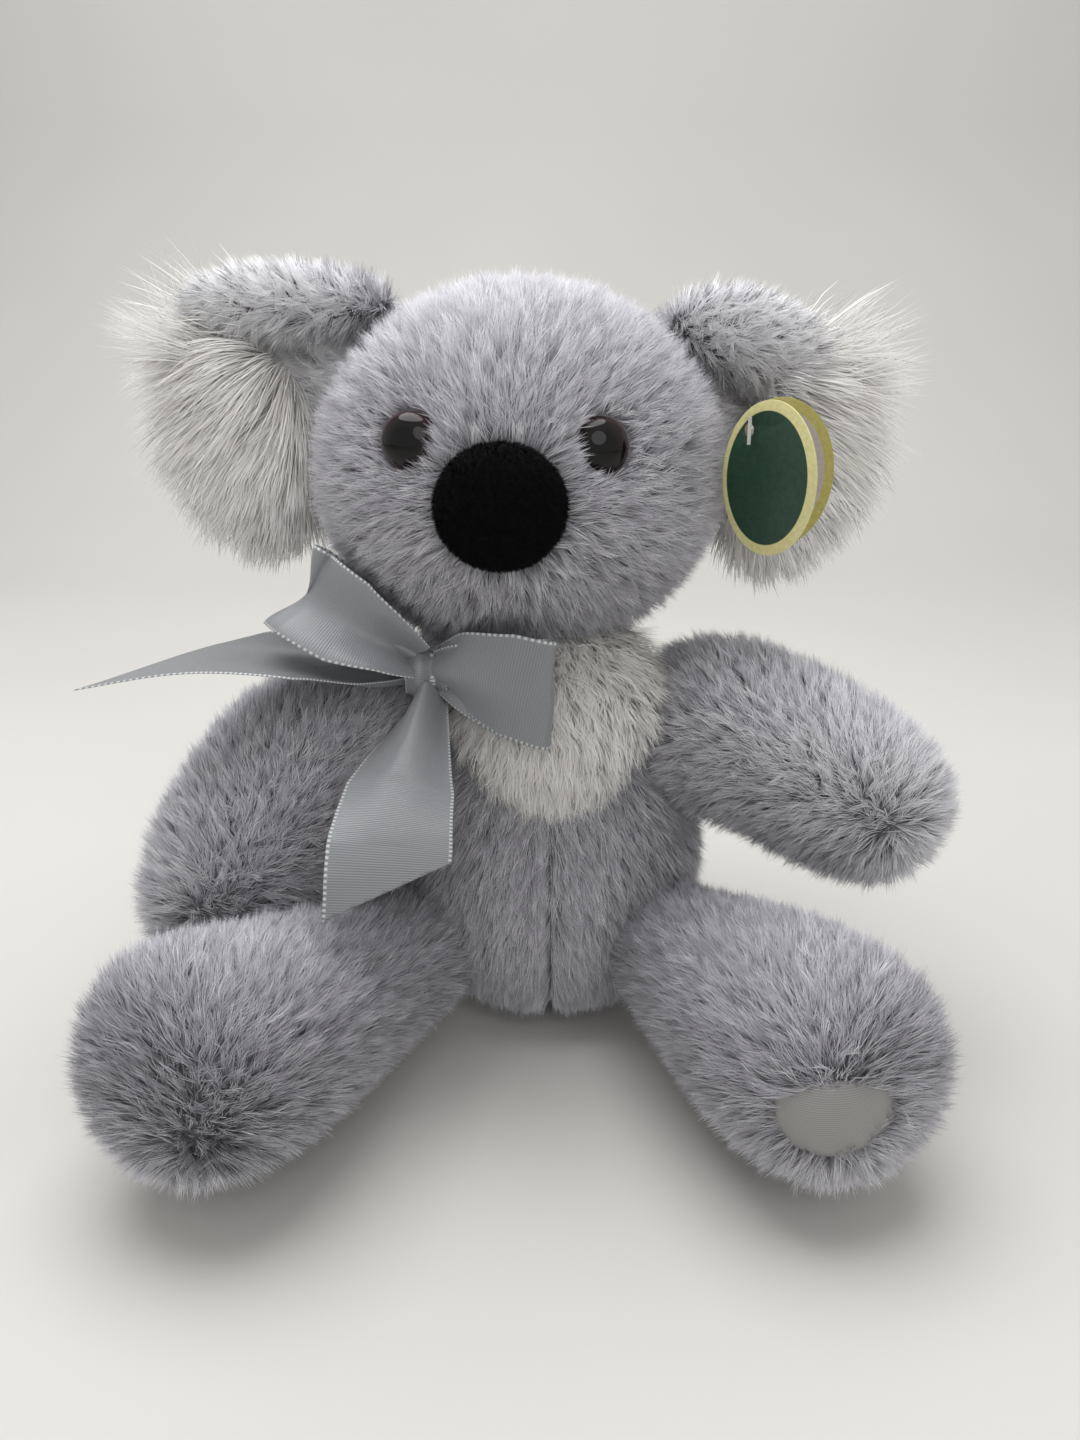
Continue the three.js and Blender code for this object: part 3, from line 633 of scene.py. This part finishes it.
def head_keep(roots, up):
    """Leaves the nose, the eyes and the neck's opening free of fur."""
    kept = np.linalg.norm((roots - NOSE) / (19, 40, 18), axis=1) > 1
    for place, facing in EYES.values():
        facing = np.array(facing) / np.linalg.norm(facing)
        gap = roots - np.array(place)
        ahead = gap @ facing
        kept &= (np.linalg.norm(gap - ahead[:, None] * facing, axis=1) > EYE_RADIUS + 0.6) | (ahead < -30)
    return kept & (np.linalg.norm(roots - KNOB, axis=1) > KNOB_RADIUS + 10)


def head_length(roots, up):
    """The fur is clipped short round the eyes and over the muzzle."""
    outer = [np.array(place) + (math.copysign(6, place[0] - NOSE[0]), 0, 2) for place, _ in EYES.values()]
    short = sum(near(roots, place, 11) for place in outer) * 0.5 + near(roots, NOSE, 26) * 0.3
    return 10.5 * (1 - np.minimum(0.55, short))


def head_comb(roots, up):
    """The head's fur lies away from the nose, and downward at the back."""
    back = np.clip((roots[:, 1] + 12) / 45, 0, 1)[:, None]
    return (1 - back) * (roots - NOSE - (0, 20, 0)) / 24 + back * np.array((0, 0.2, -1))


def chin_painted_shade(roots, up):
    """The fur is painted darker low on the head, under a height of 188 mm, as painted shade under the chin.
    """
    return -0.4 * np.clip((188 - roots[:, 2]) / 20, 0, 1)


pile("head_pile", head_skin, "head", 3.4, head_length, head_comb, head_keep,
     [skins["ear_back_right"], skins["ear_back_left"]], lean=54, ruffle=0.42, seed=3, tone=chin_painted_shade)


def parted(roots, up):
    """The body's fur lies downward, and parts along the seam on the belly."""
    beside = roots[:, 0] - 1
    part = 0.6 * np.sign(beside) * np.exp(-np.abs(beside) / 7) * (roots[:, 1] < 0)
    return np.c_[part, 0 * beside, -np.ones(len(roots))]


pile("body_pile", body_skin, "torso", 3.2, 10, parted, None, [skins[k] for k in LIMBS] + [bib_skin], seed=4)
WHORLS = {"arm_right": (-114, -75, 62), "arm_left": (114, -80, 96),  # the fur lies away from these
          "leg_right": (-103, -150, 26), "leg_left": (84, -152, 40)}
# The left arm's brushed-up patch is painted lighter, partly as its silvery tips and partly as a painted
# highlight.
BRUSHED_UP_HIGHLIGHT = (98, -62, 116)  # where the left arm's fur is brushed up
LABEL, LABEL_SIZE = (79, 46), np.array([36, 24])  # the label's place on the left sole, seen from ahead


def label_keep(roots, up):
    """Leaves the foot label free of fur, but for its edge."""
    over = np.hypot((roots[:, 0] - LABEL[0]) / LABEL_SIZE[0], (roots[:, 2] - LABEL[1]) / LABEL_SIZE[1]) < 0.40
    return ~(over & (roots[:, 1] < -110))


for i, limb in enumerate(LIMBS):
    # Painted light and shade on the limbs: lighter round each whorl's pole, as painted light over the shade
    # of the standing hairs' roots, and darker on the legs, as painted shade low down.
    def limb_painted_light_and_shade(roots, up):
        light = 0.5 * near(roots, BRUSHED_UP_HIGHLIGHT, 26) + 0.45 * near(roots, WHORLS[limb], 17)
        return light - (0.25 if limb.startswith("leg") else 0)

    bare = label_keep if limb == "leg_left" else None
    pile(limb + "_pile", skins[limb], limb, 3.5, 9.5, away(WHORLS[limb]), bare, [body_skin], lean=50,
         ruffle=0.45, gather=0.28, seed=10 + i, tone=limb_painted_light_and_shade)

for side, ear in EARS.items():
    out = math.copysign(1, ear["flap"][0] - HEAD[0])
    crease = np.array(ear["flap"]) + ((14, 0, -4) if side == "right" else (-14, 0, -8))

    def ear_back_tone_and_painted_light(roots, up):
        """The curled top is painted lighter outward, as painted light, and the back is darker."""
        return np.where(roots[:, 1] > 4, -0.2, 0.008 * (out * (roots[:, 0] - HEAD[0]) - 24))

    def front_length(roots, up):
        return 29 - 11 * np.clip((ear["centre"][2] - roots[:, 2]) / 35, 0, 1)

    def upper_corner(roots, up):
        return (roots[:, 2] > ear["centre"][2] + 16) & (out * (roots[:, 0] - ear["centre"][0]) > 0)

    back, front, body = skins[f"ear_back_{side}"], skins[f"ear_front_{side}"], f"ear_{side}"
    pile(f"ear_back_{side}_pile", back, body, 5.0, 8.5, even(out, -0.2, 0.25), None, [head_skin], lean=46,
         ruffle=0.7, seed=20, tone=ear_back_tone_and_painted_light, finish=frosted_pile)
    pile(f"ear_front_{side}_pile", front, body, 2.4, front_length, away(crease), None, [head_skin], lean=62,
         steps=4, width=0.36, droop=0.35, clump=4, gather=0.7, seed=22, finish=white_pile)
    pile(f"ear_front_{side}_wisps", front, body, 1.1, 40, even(out, -0.2, 0.45), upper_corner, lean=66,
         steps=4, width=0.34, droop=-0.15, clump=8, gather=0.9, ruffle=0.35, seed=24, finish=white_pile)


def bib_front(roots, up):
    return roots[:, 1] < -20


pile("bib_pile", bib_skin, "torso", 2.6, 14, even(0.0, -0.3, -1.0), bib_front, lean=60, steps=2, clump=2.6,
     gather=0.4, ruffle=0.4, seed=30, finish=white_pile)

# Nose: a domed pad of black fleece, glued and stitched to the muzzle. Its nap is short and dull, and
# only its edge catches the light.
fleece, tree, shader, nap = grained("black_fleece", [(0.3, "#020203"), (0.75, "#0c0c0e")],
                                    Scale=900.0, Detail=3.0)
fleece_bump = add(tree, "ShaderNodeBump", {"Height": nap}, {"Strength": 0.5, "Distance": 0.0004})
plug(shader, {"Normal": fleece_bump.outputs["Normal"]}, {"Roughness": 0.9, "Specular IOR Level": 0.12})
nose_pad = ball("nose_pad_fleece", lambda unit: NOSE + unit * NOSE_SIZE / 2, 48, 32)
bpy.ops.object.shade_smooth()
fit(nose_pad, fleece, "nose_pad", "head")


def nose_front(roots, up):
    return roots[:, 1] < NOSE[1] + 3


pile("nose_nap", nose_pad, "head", 9.0, 1.7, even(0.5, 0.0, -1.0), nose_front, lean=50, width=0.16, clump=1.1,
     gather=0.3, ruffle=0.7, seed=41, finish=fleece)

# Eyes: glossy domes of dark acrylic with a black pupil and a reddish edge, each on a shank that a
# washer locks inside the head.
acrylic, tree, shader = material("cast_acrylic_eye")
eye_map = add(tree, "ShaderNodeUVMap", uv_map="eye_face")
eye_face = add(tree, "ShaderNodeVectorMath", {0: eye_map.outputs["UV"]}, {1: (0.5, 0.5, 0.0)},
               operation="SUBTRACT")
eye_ring = add(tree, "ShaderNodeVectorMath", {0: eye_face.outputs["Vector"]}, operation="LENGTH")
eye_colour = add(tree, "ShaderNodeValToRGB", {"Fac": eye_ring.outputs["Value"]},
                 stops=[(0.0, "#010101"), (0.22, "#020202"), (0.27, "#0d0909"), (0.4, "#140c0d"),
                        (0.45, "#331d1e"), (0.5, "#140c0d")])
plug(shader, {"Base Color": eye_colour.outputs["Color"]}, {"Roughness": 0.06, "Specular IOR Level": 0.3})
EYE_PROFILE = [(0, EYE_HEIGHT, 0), (90, 0, EYE_RADIUS), (98, -1.6, EYE_RADIUS), (115, -1.6, 2.1),
               (172, -20.6, 2.1), (180, -20.6, 0)]  # turn from the dome's top, height and radius


def eye_place(place, facing):
    """An eye's dome, flange and shank, pointing along facing from the middle of its back."""
    facing = Vector(facing).normalized()
    side = facing.cross(Vector((0, 0, 1))).normalized()
    third = np.array(side.cross(facing))

    def shape(unit):
        turn = np.degrees(np.arccos(np.clip(unit[:, 2], -1, 1)))
        angles, heights, radii = np.array(EYE_PROFILE, float).T
        dome = turn <= 90
        height = np.where(dome, EYE_HEIGHT * np.cos(np.radians(turn)), np.interp(turn, angles, heights))
        radius = np.where(dome, EYE_RADIUS * np.sin(np.radians(turn)), np.interp(turn, angles, radii))
        way = unit[:, :2] / np.maximum(np.linalg.norm(unit[:, :2], axis=1), 1e-6)[:, None]
        return (np.array(place) + np.outer(height, facing) + np.outer(way[:, 0] * radius, side)
                + np.outer(way[:, 1] * radius, third))
    return shape, np.array(side), third


def map_by(piece, name, values):
    """Gives a mesh a UV map from one pair of numbers for each of its points."""
    layer = piece.data.uv_layers.get(name) or piece.data.uv_layers.new(name=name)
    corners = np.empty(len(piece.data.loops), np.int32)
    piece.data.loops.foreach_get("vertex_index", corners)
    layer.data.foreach_set("uv", values[corners].ravel().astype(np.float32))


for side, (place, facing) in EYES.items():
    shape, across, third = eye_place(place, facing)
    eye = ball(f"eye_{side}_dome", shape, 48, 40)
    bpy.ops.object.shade_smooth()
    from_middle = (points_of(eye) / MM - np.array(place)) / (2 * EYE_RADIUS)
    map_by(eye, "eye_face", 0.5 + np.c_[from_middle @ across, from_middle @ third])
    fit(eye, acrylic, f"eye_{side}", "head")

# Ribbon: 38 mm grey satin with fine crosswise ribs and looped threads along both edges. It is tied in
# a bow on the koala's right: two loops, two tails cut on the slant, and a band folded round the knot.
RIBBON = 38
satin, tree, shader = material("woven_polyester_satin")
weave_map = add(tree, "ShaderNodeUVMap", uv_map="weave")
weave = add(tree, "ShaderNodeSeparateXYZ", {"Vector": weave_map.outputs["UV"]})


def bands(tree, value, count):
    """Even bands, count of them over one unit of value, as a wave from 0 to 1."""
    turns = add(tree, "ShaderNodeMath", {0: value}, {1: count * 2 * math.pi}, operation="MULTIPLY")
    wave = add(tree, "ShaderNodeMath", {0: turns.outputs["Value"]}, operation="SINE")
    share = add(tree, "ShaderNodeMapRange", {"Value": wave.outputs["Value"]}, {"From Min": -1.0})
    return share.outputs["Result"]


ribs = bands(tree, weave.outputs["Y"], RIBBON / 0.6)  # a rib every 0.6 mm
middle = add(tree, "ShaderNodeMath", {0: weave.outputs["X"]}, {1: 0.5}, operation="SUBTRACT")
edge = add(tree, "ShaderNodeMath", {0: middle.outputs["Value"]}, operation="ABSOLUTE")
selvedge = add(tree, "ShaderNodeMapRange", {"Value": edge.outputs["Value"]},
               {"From Min": 0.468, "From Max": 0.48})
picots = bands(tree, weave.outputs["Y"], RIBBON / 1.3)  # a looped thread every 1.3 mm
rib_colour = add(tree, "ShaderNodeValToRGB", {"Fac": ribs}, stops=[(0.0, "#76797d"), (1.0, "#888b8f")])
# The looped threads are painted pale on their crests, a painted highlight on each loop.
picot_painted_highlight = add(tree, "ShaderNodeValToRGB", {"Fac": picots}, stops=[(0.2, "#85888b"), (0.8, "#d0d3d5")])
satin_mix = add(tree, "ShaderNodeMix", {"Factor": selvedge.outputs["Result"], 6: rib_colour.outputs["Color"],
                                        7: picot_painted_highlight.outputs["Color"]}, data_type="RGBA")
thread_height = add(tree, "ShaderNodeMix", {"Factor": selvedge.outputs["Result"], 2: ribs, 3: picots},
                    data_type="FLOAT")
satin_bump = add(tree, "ShaderNodeBump", {"Height": thread_height.outputs[0]},
                 {"Strength": 0.35, "Distance": 0.00015})
plug(shader, {"Base Color": satin_mix.outputs[2], "Normal": satin_bump.outputs["Normal"]},
     {"Roughness": 0.36, "Specular IOR Level": 0.6, "Sheen Weight": 0.2})


def smooth_line(points, spots):
    """A smooth curve through the points, at spots counted in points, with its direction."""
    points = np.array(points, float)
    steps = np.sqrt(np.linalg.norm(np.diff(points, axis=0), axis=1))
    slopes = np.diff(points, axis=0) / steps[:, None]
    inner = slopes[:-1] * steps[1:, None] + slopes[1:] * steps[:-1, None]
    bends = np.vstack([slopes[:1], inner / (steps[:-1] + steps[1:])[:, None], slopes[-1:]])
    low = np.clip(np.floor(spots).astype(int), 0, len(points) - 2)
    t, h = (spots - low)[:, None], steps[low][:, None]
    start, end, first, last = points[low], points[low + 1], bends[low] * h, bends[low + 1] * h
    place = ((2 * t ** 3 - 3 * t ** 2 + 1) * start + (t ** 3 - 2 * t ** 2 + t) * first
             + (3 * t ** 2 - 2 * t ** 3) * end + (t ** 3 - t ** 2) * last)
    way = ((6 * t ** 2 - 6 * t) * start + (3 * t ** 2 - 4 * t + 1) * first
           + (6 * t - 6 * t ** 2) * end + (3 * t ** 2 - 2 * t) * last)
    return place, one_long(way)


def ribbon(name, points, shares, across, folds=2, most=2.4, curl=None, cut=None, rows=120):
    """A length of the ribbon along a line, and its length in mm. shares are its widths along the line,
    as shares of the full width, and where it is narrower it lies in folds, up to most mm deep."""
    bpy.ops.object.select_all(action="DESELECT")
    bpy.ops.mesh.primitive_grid_add(x_subdivisions=28, y_subdivisions=rows, size=2)
    made = bpy.context.object
    made.name = name
    flat = points_of(made)
    x, down = flat[:, 0], (flat[:, 1] + 1) / 2
    spots = down * (len(points) - 1)
    place, along = smooth_line(points, spots)
    share = np.interp(down, np.linspace(0, 1, len(shares)), shares)
    marks = np.linspace(0, 1, len(across))
    side = np.stack([np.interp(down, marks, axis) for axis in np.array(across, float).T], axis=1)
    side = one_long(side - (side * along).sum(axis=1, keepdims=True) * along)
    out = np.cross(side, along)
    width = RIBBON * share
    depth = np.minimum(most, np.sqrt(2 * np.maximum(0, 1 / share ** 2 - 1)) * width / (2 * math.pi * folds))
    depth *= np.clip((1.05 - share) / 0.5, 0.15, 1)
    lift = depth * np.cos(2 * math.pi * folds * (x + 1) / 2) + 0.25 * np.sin(spots * 2.1 + x)
    if curl is not None:
        lift = lift + curl(x, down)
    move_points(made, (place + side * (x * width / 2)[:, None] + out * lift[:, None]) * MM)
    centre = smooth_line(points, np.linspace(0, len(points) - 1, 400))[0]
    length = np.linalg.norm(np.diff(centre, axis=0), axis=1).sum()
    made.data.uv_layers[0].name = "weave"
    map_by(made, "weave", np.c_[(x + 1) / 2, down * length / RIBBON])
    if cut is not None:
        bpy.ops.object.mode_set(mode="EDIT")
        bpy.ops.mesh.select_all(action="SELECT")
        bpy.ops.mesh.bisect(plane_co=Vector(cut[0]) * MM, plane_no=cut[1], clear_outer=True)
        bpy.ops.object.mode_set(mode="OBJECT")
        length -= RIBBON / 3
    apply(made, "SOLIDIFY", thickness=0.3 * MM, offset=0)
    bpy.ops.object.shade_smooth()
    return made, length


def rolled_edge(x, share):
    """The front tail's outer edge rolls back near the knot and comes flat further down."""
    outer = np.clip((-x - 0.15) / 0.85, 0, 1) ** 1.6
    inner = np.clip(x, 0, 1)
    return 8 * outer * np.clip(1 - share / 0.85, 0, 1) - 1.2 * inner * (1 - share)


BOW = {
    "ribbon_tail_front": dict(
        body="ribbon_tail_front", held="hung", across=[(1, 0, 0), (1, 0.1, 0), (1, 0.1, 0), (1, 0.12, 0)],
        points=[(-40, -51, 140), (-43, -64, 130), (-46.5, -79, 117.5), (-48.5, -93, 103.5), (-50, -102, 78)],
        shares=[0.35, 0.6, 0.9, 1, 1], folds=1, most=4.5, curl=rolled_edge,
        cut=((-49.7, -102, 90.3), (0.37, 0, -0.93))),
    "ribbon_tail_side": dict(
        body="ribbon_tail_side", held="hung", across=[(0, 1, 0.3), (0, 1, 0.25), (0, 1, 0.1), (0, 1, -0.05)],
        points=[(-46, -44, 144), (-60, -47, 145), (-80, -48, 150), (-112, -46, 151), (-156, -42, 141)],
        shares=[0.35, 0.6, 0.9, 1, 1], cut=((-121, -44, 146), (-0.5, 0.86, 0))),
    "ribbon_loop_front": dict(
        body="torso", held="folded", across=[(0, 0, 1)],
        points=[(-37, -50, 147), (-28, -60, 148), (-14, -67, 146), (0, -68.5, 143), (1, -65.5, 143),
                (-1, -63, 143), (-14, -62.5, 144), (-27, -56, 146), (-36, -48, 146)],
        shares=[0.4, 0.7, 0.9, 0.92, 0.92, 0.92, 0.85, 0.6, 0.35], rows=200, folds=1, most=2.6),
    "ribbon_loop_side": dict(
        body="torso", held="folded", across=[(0.55, 0.4, 0.7)],
        points=[(-43, -52, 150), (-52, -57, 157), (-64, -58, 164), (-76, -54, 171), (-79, -50.5, 172.5),
                (-76, -47, 171), (-64, -47, 164), (-53, -49, 157), (-44, -47, 150)],
        shares=[0.3, 0.5, 0.75, 0.8, 0.8, 0.8, 0.7, 0.45, 0.3], rows=200, folds=1, most=4),
}
for node, run in BOW.items():
    body, held = run.pop("body"), run.pop("held")
    made, length = ribbon(node + "_satin", **run)
    fit(made, satin, node, body)

KNOT, KNOT_CORE = np.array([-40, -47, 145]), (8.5, 5.8, 6.8)  # its middle, and half its core's size
KNOT_ROUND, NECK_ROUND = (6.6, 7.4), 40  # the radii at which the ribbon lies round the core and the neck
NECK = np.array([KNOB[0], KNOB[1], 137.8])
turns = np.linspace(math.pi, -math.pi, 13)
round_knot = [KNOT + (0, KNOT_ROUND[0] * math.sin(a), KNOT_ROUND[1] * math.cos(a)) for a in turns]
knot_core = ball("knot_core", lambda unit: KNOT + unit * KNOT_CORE)
map_by(knot_core, "weave", points_of(knot_core)[:, [0, 2]] / (RIBBON * MM))
knot_band, knot_length = ribbon("ribbon_knot_band", round_knot, [0.36], [(1, 0, 0.12)], folds=1.5, most=1.1)
bow_knot = joined("ribbon_knot_satin", knot_band, knot_core)
fit(bow_knot, satin, "ribbon_knot", "torso")
turns = np.linspace(-0.6, 2 * math.pi - 0.6, 25)
round_neck = [NECK + (NECK_ROUND * math.sin(a), -NECK_ROUND * math.cos(a), 0) for a in turns]
neckband, neck_length = ribbon("ribbon_neckband_satin", round_neck, [0.3], [(0, 0, 1)], folds=1.5, most=0.8,
                               rows=200)
fit(neckband, satin, "ribbon_neckband", "torso")

# Hang tag: two ovals of coated card folded along their left side, green outside and grey within, each
# with a pale printed border. The tag is bare. A clear nylon loop holds it to the left ear.
TAG_SPINE = np.array([54.9, -42, 208.5])
LEAF, CARD = np.array([34.5, 46.5]), 0.8  # a leaf's width and height, and the card's thickness
TAG_HOLE, TAG_HOLE_RADIUS = (9, 14), 2


def card(name, inner, rim):
    """Coated card, with a border of its own colour round the leaf's edge."""
    made, tree, shader, fibre = grained(name, [(0.35, inner[0]), (0.65, inner[1])], Scale=700.0)
    grain = shader.inputs["Base Color"].links[0].from_socket
    spot = add(tree, "ShaderNodeVectorMath", {0: add(tree, "ShaderNodeUVMap", uv_map="print").outputs["UV"]},
               {1: (0.48, 0.5, 0.0)}, operation="SUBTRACT")
    far = add(tree, "ShaderNodeVectorMath", {0: spot.outputs["Vector"]}, operation="LENGTH")
    border = add(tree, "ShaderNodeValToRGB", {"Fac": fibre}, stops=[(0.35, rim[0]), (0.65, rim[1])])
    step = add(tree, "ShaderNodeMapRange", {"Value": far.outputs["Value"]},
               {"From Min": 0.43, "From Max": 0.435})  # the border starts at 0.43 of the leaf's size
    mix = add(tree, "ShaderNodeMix", {"Factor": step.outputs["Result"], 6: grain,
                                      7: border.outputs["Color"]}, data_type="RGBA")
    plug(shader, {"Base Color": mix.outputs[2]}, {"Roughness": 0.42})
    return made


green_card = card("green_coated_card", ("#1f3a2d", "#264435"), ("#d2cc8e", "#ddd7a0"))
grey_card = card("grey_coated_card", ("#a59c94", "#b0a79f"), ("#a39a4e", "#b0a75a"))
for name, node, body, angle, shift, stock in [  # how far each leaf is opened, and its place in the fold
    ("tag_cover_card", "tag_front_leaf", "tag_cover", 47, -1.2, green_card),
    ("tag_back_card", "tag_back_leaf", "tag", 0, 0, grey_card),
]:
    bpy.ops.object.select_all(action="DESELECT")
    bpy.ops.mesh.primitive_cylinder_add(vertices=96, radius=1, depth=1)
    card_leaf = bpy.context.object
    card_leaf.name = name
    spots = points_of(card_leaf)
    flat = spots[:, :2] * LEAF / 2 + (LEAF[0] / 2, 0)
    bpy.ops.mesh.primitive_cylinder_add(vertices=32, radius=TAG_HOLE_RADIUS, depth=6, location=(*TAG_HOLE, 0))
    punch = bpy.context.object
    active(card_leaf)
    move_points(card_leaf, np.c_[flat, (spots[:, 2] - 0.5) * CARD])
    apply(card_leaf, "BOOLEAN", object=punch, operation="DIFFERENCE")
    bpy.data.objects.remove(punch)
    apply(card_leaf, "BEVEL", width=0.12, segments=2, limit_method="ANGLE")
    local = points_of(card_leaf)
    map_by(card_leaf, "print", np.c_[local[:, 0] / LEAF[0], local[:, 1] / LEAF[1] + 0.5])
    c, s = math.cos(math.radians(angle)), math.sin(math.radians(angle))
    across, back = local[:, 0], local[:, 2]
    opened = np.c_[across * c + back * s, -across * s + back * c + shift, local[:, 1]]
    move_points(card_leaf, (TAG_SPINE + opened) * MM)
    bpy.ops.object.shade_smooth_by_angle(angle=math.radians(40))
    fit(card_leaf, stock, node, body)


def refinished(piece, stock):
    """A CAD piece that stays as it is gets its own material."""
    piece.data.materials.clear()
    piece.data.materials.append(stock)


nylon, _, shader, _ = grained("clear_nylon", [(0.3, "#dededa"), (0.7, "#ecece9")], Scale=400.0)
plug(shader, inputs={"Roughness": 0.25, "Transmission Weight": 0.35})
refinished(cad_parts["tag_fastener"], nylon)

# Foot label: an oval of ribbed satin sewn flat on the left sole.
# It follows the sole's curve, and its edge is sunk in the fur.
label_satin, tree, shader = material("label_satin")
weave_map = add(tree, "ShaderNodeUVMap", uv_map="weave")
label_place = add(tree, "ShaderNodeSeparateXYZ", {"Vector": weave_map.outputs["UV"]})
label_ribs = bands(tree, label_place.outputs["Y"], LABEL_SIZE[0] / 0.6)
label_colour = add(tree, "ShaderNodeValToRGB", {"Fac": label_ribs},
                   stops=[(0.0, "#828180"), (1.0, "#959492")])
label_bump = add(tree, "ShaderNodeBump", {"Height": label_ribs}, {"Strength": 0.25, "Distance": 0.0001})
plug(shader, {"Base Color": label_colour.outputs["Color"], "Normal": label_bump.outputs["Normal"]},
     {"Roughness": 0.34})
bpy.ops.object.select_all(action="DESELECT")
bpy.ops.mesh.primitive_grid_add(x_subdivisions=40, y_subdivisions=28, size=2)
label = bpy.context.object
label.name = "foot_label_satin"
square = points_of(label)[:, :2]
disc = square * np.sqrt(1 - square[:, ::-1] ** 2 / 2)  # a square grid drawn round
sole = tree_of(skins["leg_left"])
laid = []
for u, v in disc * LABEL_SIZE / 2:
    far_out = Vector((LABEL[0] + u, -230, LABEL[1] + v)) * MM
    hit, normal, _, _ = sole.ray_cast(far_out, Vector((0, 1, 0)))
    rise = 2.4 - 1.6 * (2 * np.hypot(u / LABEL_SIZE[0], v / LABEL_SIZE[1])) ** 4  # less at the edge
    laid.append(hit + normal * rise * MM)
move_points(label, np.array(laid))
label.data.uv_layers[0].name = "weave"
map_by(label, "weave", disc / 2 * LABEL_SIZE / LABEL_SIZE[0] + 0.5)
apply(label, "SOLIDIFY", thickness=0.35 * MM, offset=0)
bpy.ops.object.shade_smooth()
fit(label, label_satin, "foot_label", "leg_left")

# Inside: polyester fibre in every stuffed part, a cotton pouch of pellets in the seat, and the moulded
# washers on the eyes' shanks. Closed seams hide all of it.
wadding, tree, shader, fibres = grained("polyester_fibre", [(0.3, "#dfddd6"), (0.7, "#f6f5f1")],
                                        Scale=350.0, Detail=5.0, Distortion=1.5)
fibre_bump = add(tree, "ShaderNodeBump", {"Height": fibres}, {"Strength": 0.6, "Distance": 0.0008})
plug(shader, {"Normal": fibre_bump.outputs["Normal"]}, {"Roughness": 1.0})
cotton, tree, shader = material("woven_cotton")
threads = add(tree, "ShaderNodeTexBrick", {"Vector": add(tree, "ShaderNodeTexCoord").outputs["Object"]},
              {"Scale": 900.0, "Mortar Size": 0.06, "Color1": linear("#dcd7cb"), "Color2": linear("#d2ccbe"),
               "Mortar": linear("#a8a294")})
plug(shader, {"Base Color": threads.outputs["Color"]}, {"Roughness": 0.9})
moulded, _, shader, _ = grained("moulded_polypropylene", [(0.3, "#e9e9e5"), (0.7, "#f1f1ee")], Scale=160.0)
plug(shader, inputs={"Roughness": 0.45})


def filled(skin, name, depth=3.5):
    """The filling inside a skin: its form again, drawn in by depth mm and with fewer faces."""
    made = bpy.data.objects.new(name, skin.data.copy())
    bpy.context.scene.collection.objects.link(made)
    active(made)
    move_points(made, points_of(made) - normals_of(made) * depth * MM)
    apply(made, "DECIMATE", ratio=0.2)
    made.data.materials.clear()
    return made


for name in ("body", *LIMBS, "head"):
    body = "torso" if name == "body" else name
    fibre = filled(skins[name], body + "_filling_fibre")
    fit(fibre, wadding, body + "_filling", body)
for node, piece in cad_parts.items():
    for word, stock in (("_filling", wadding), ("bean_pouch", cotton), ("eye_washer", moulded)):
        if word in node:
            refinished(piece, stock)
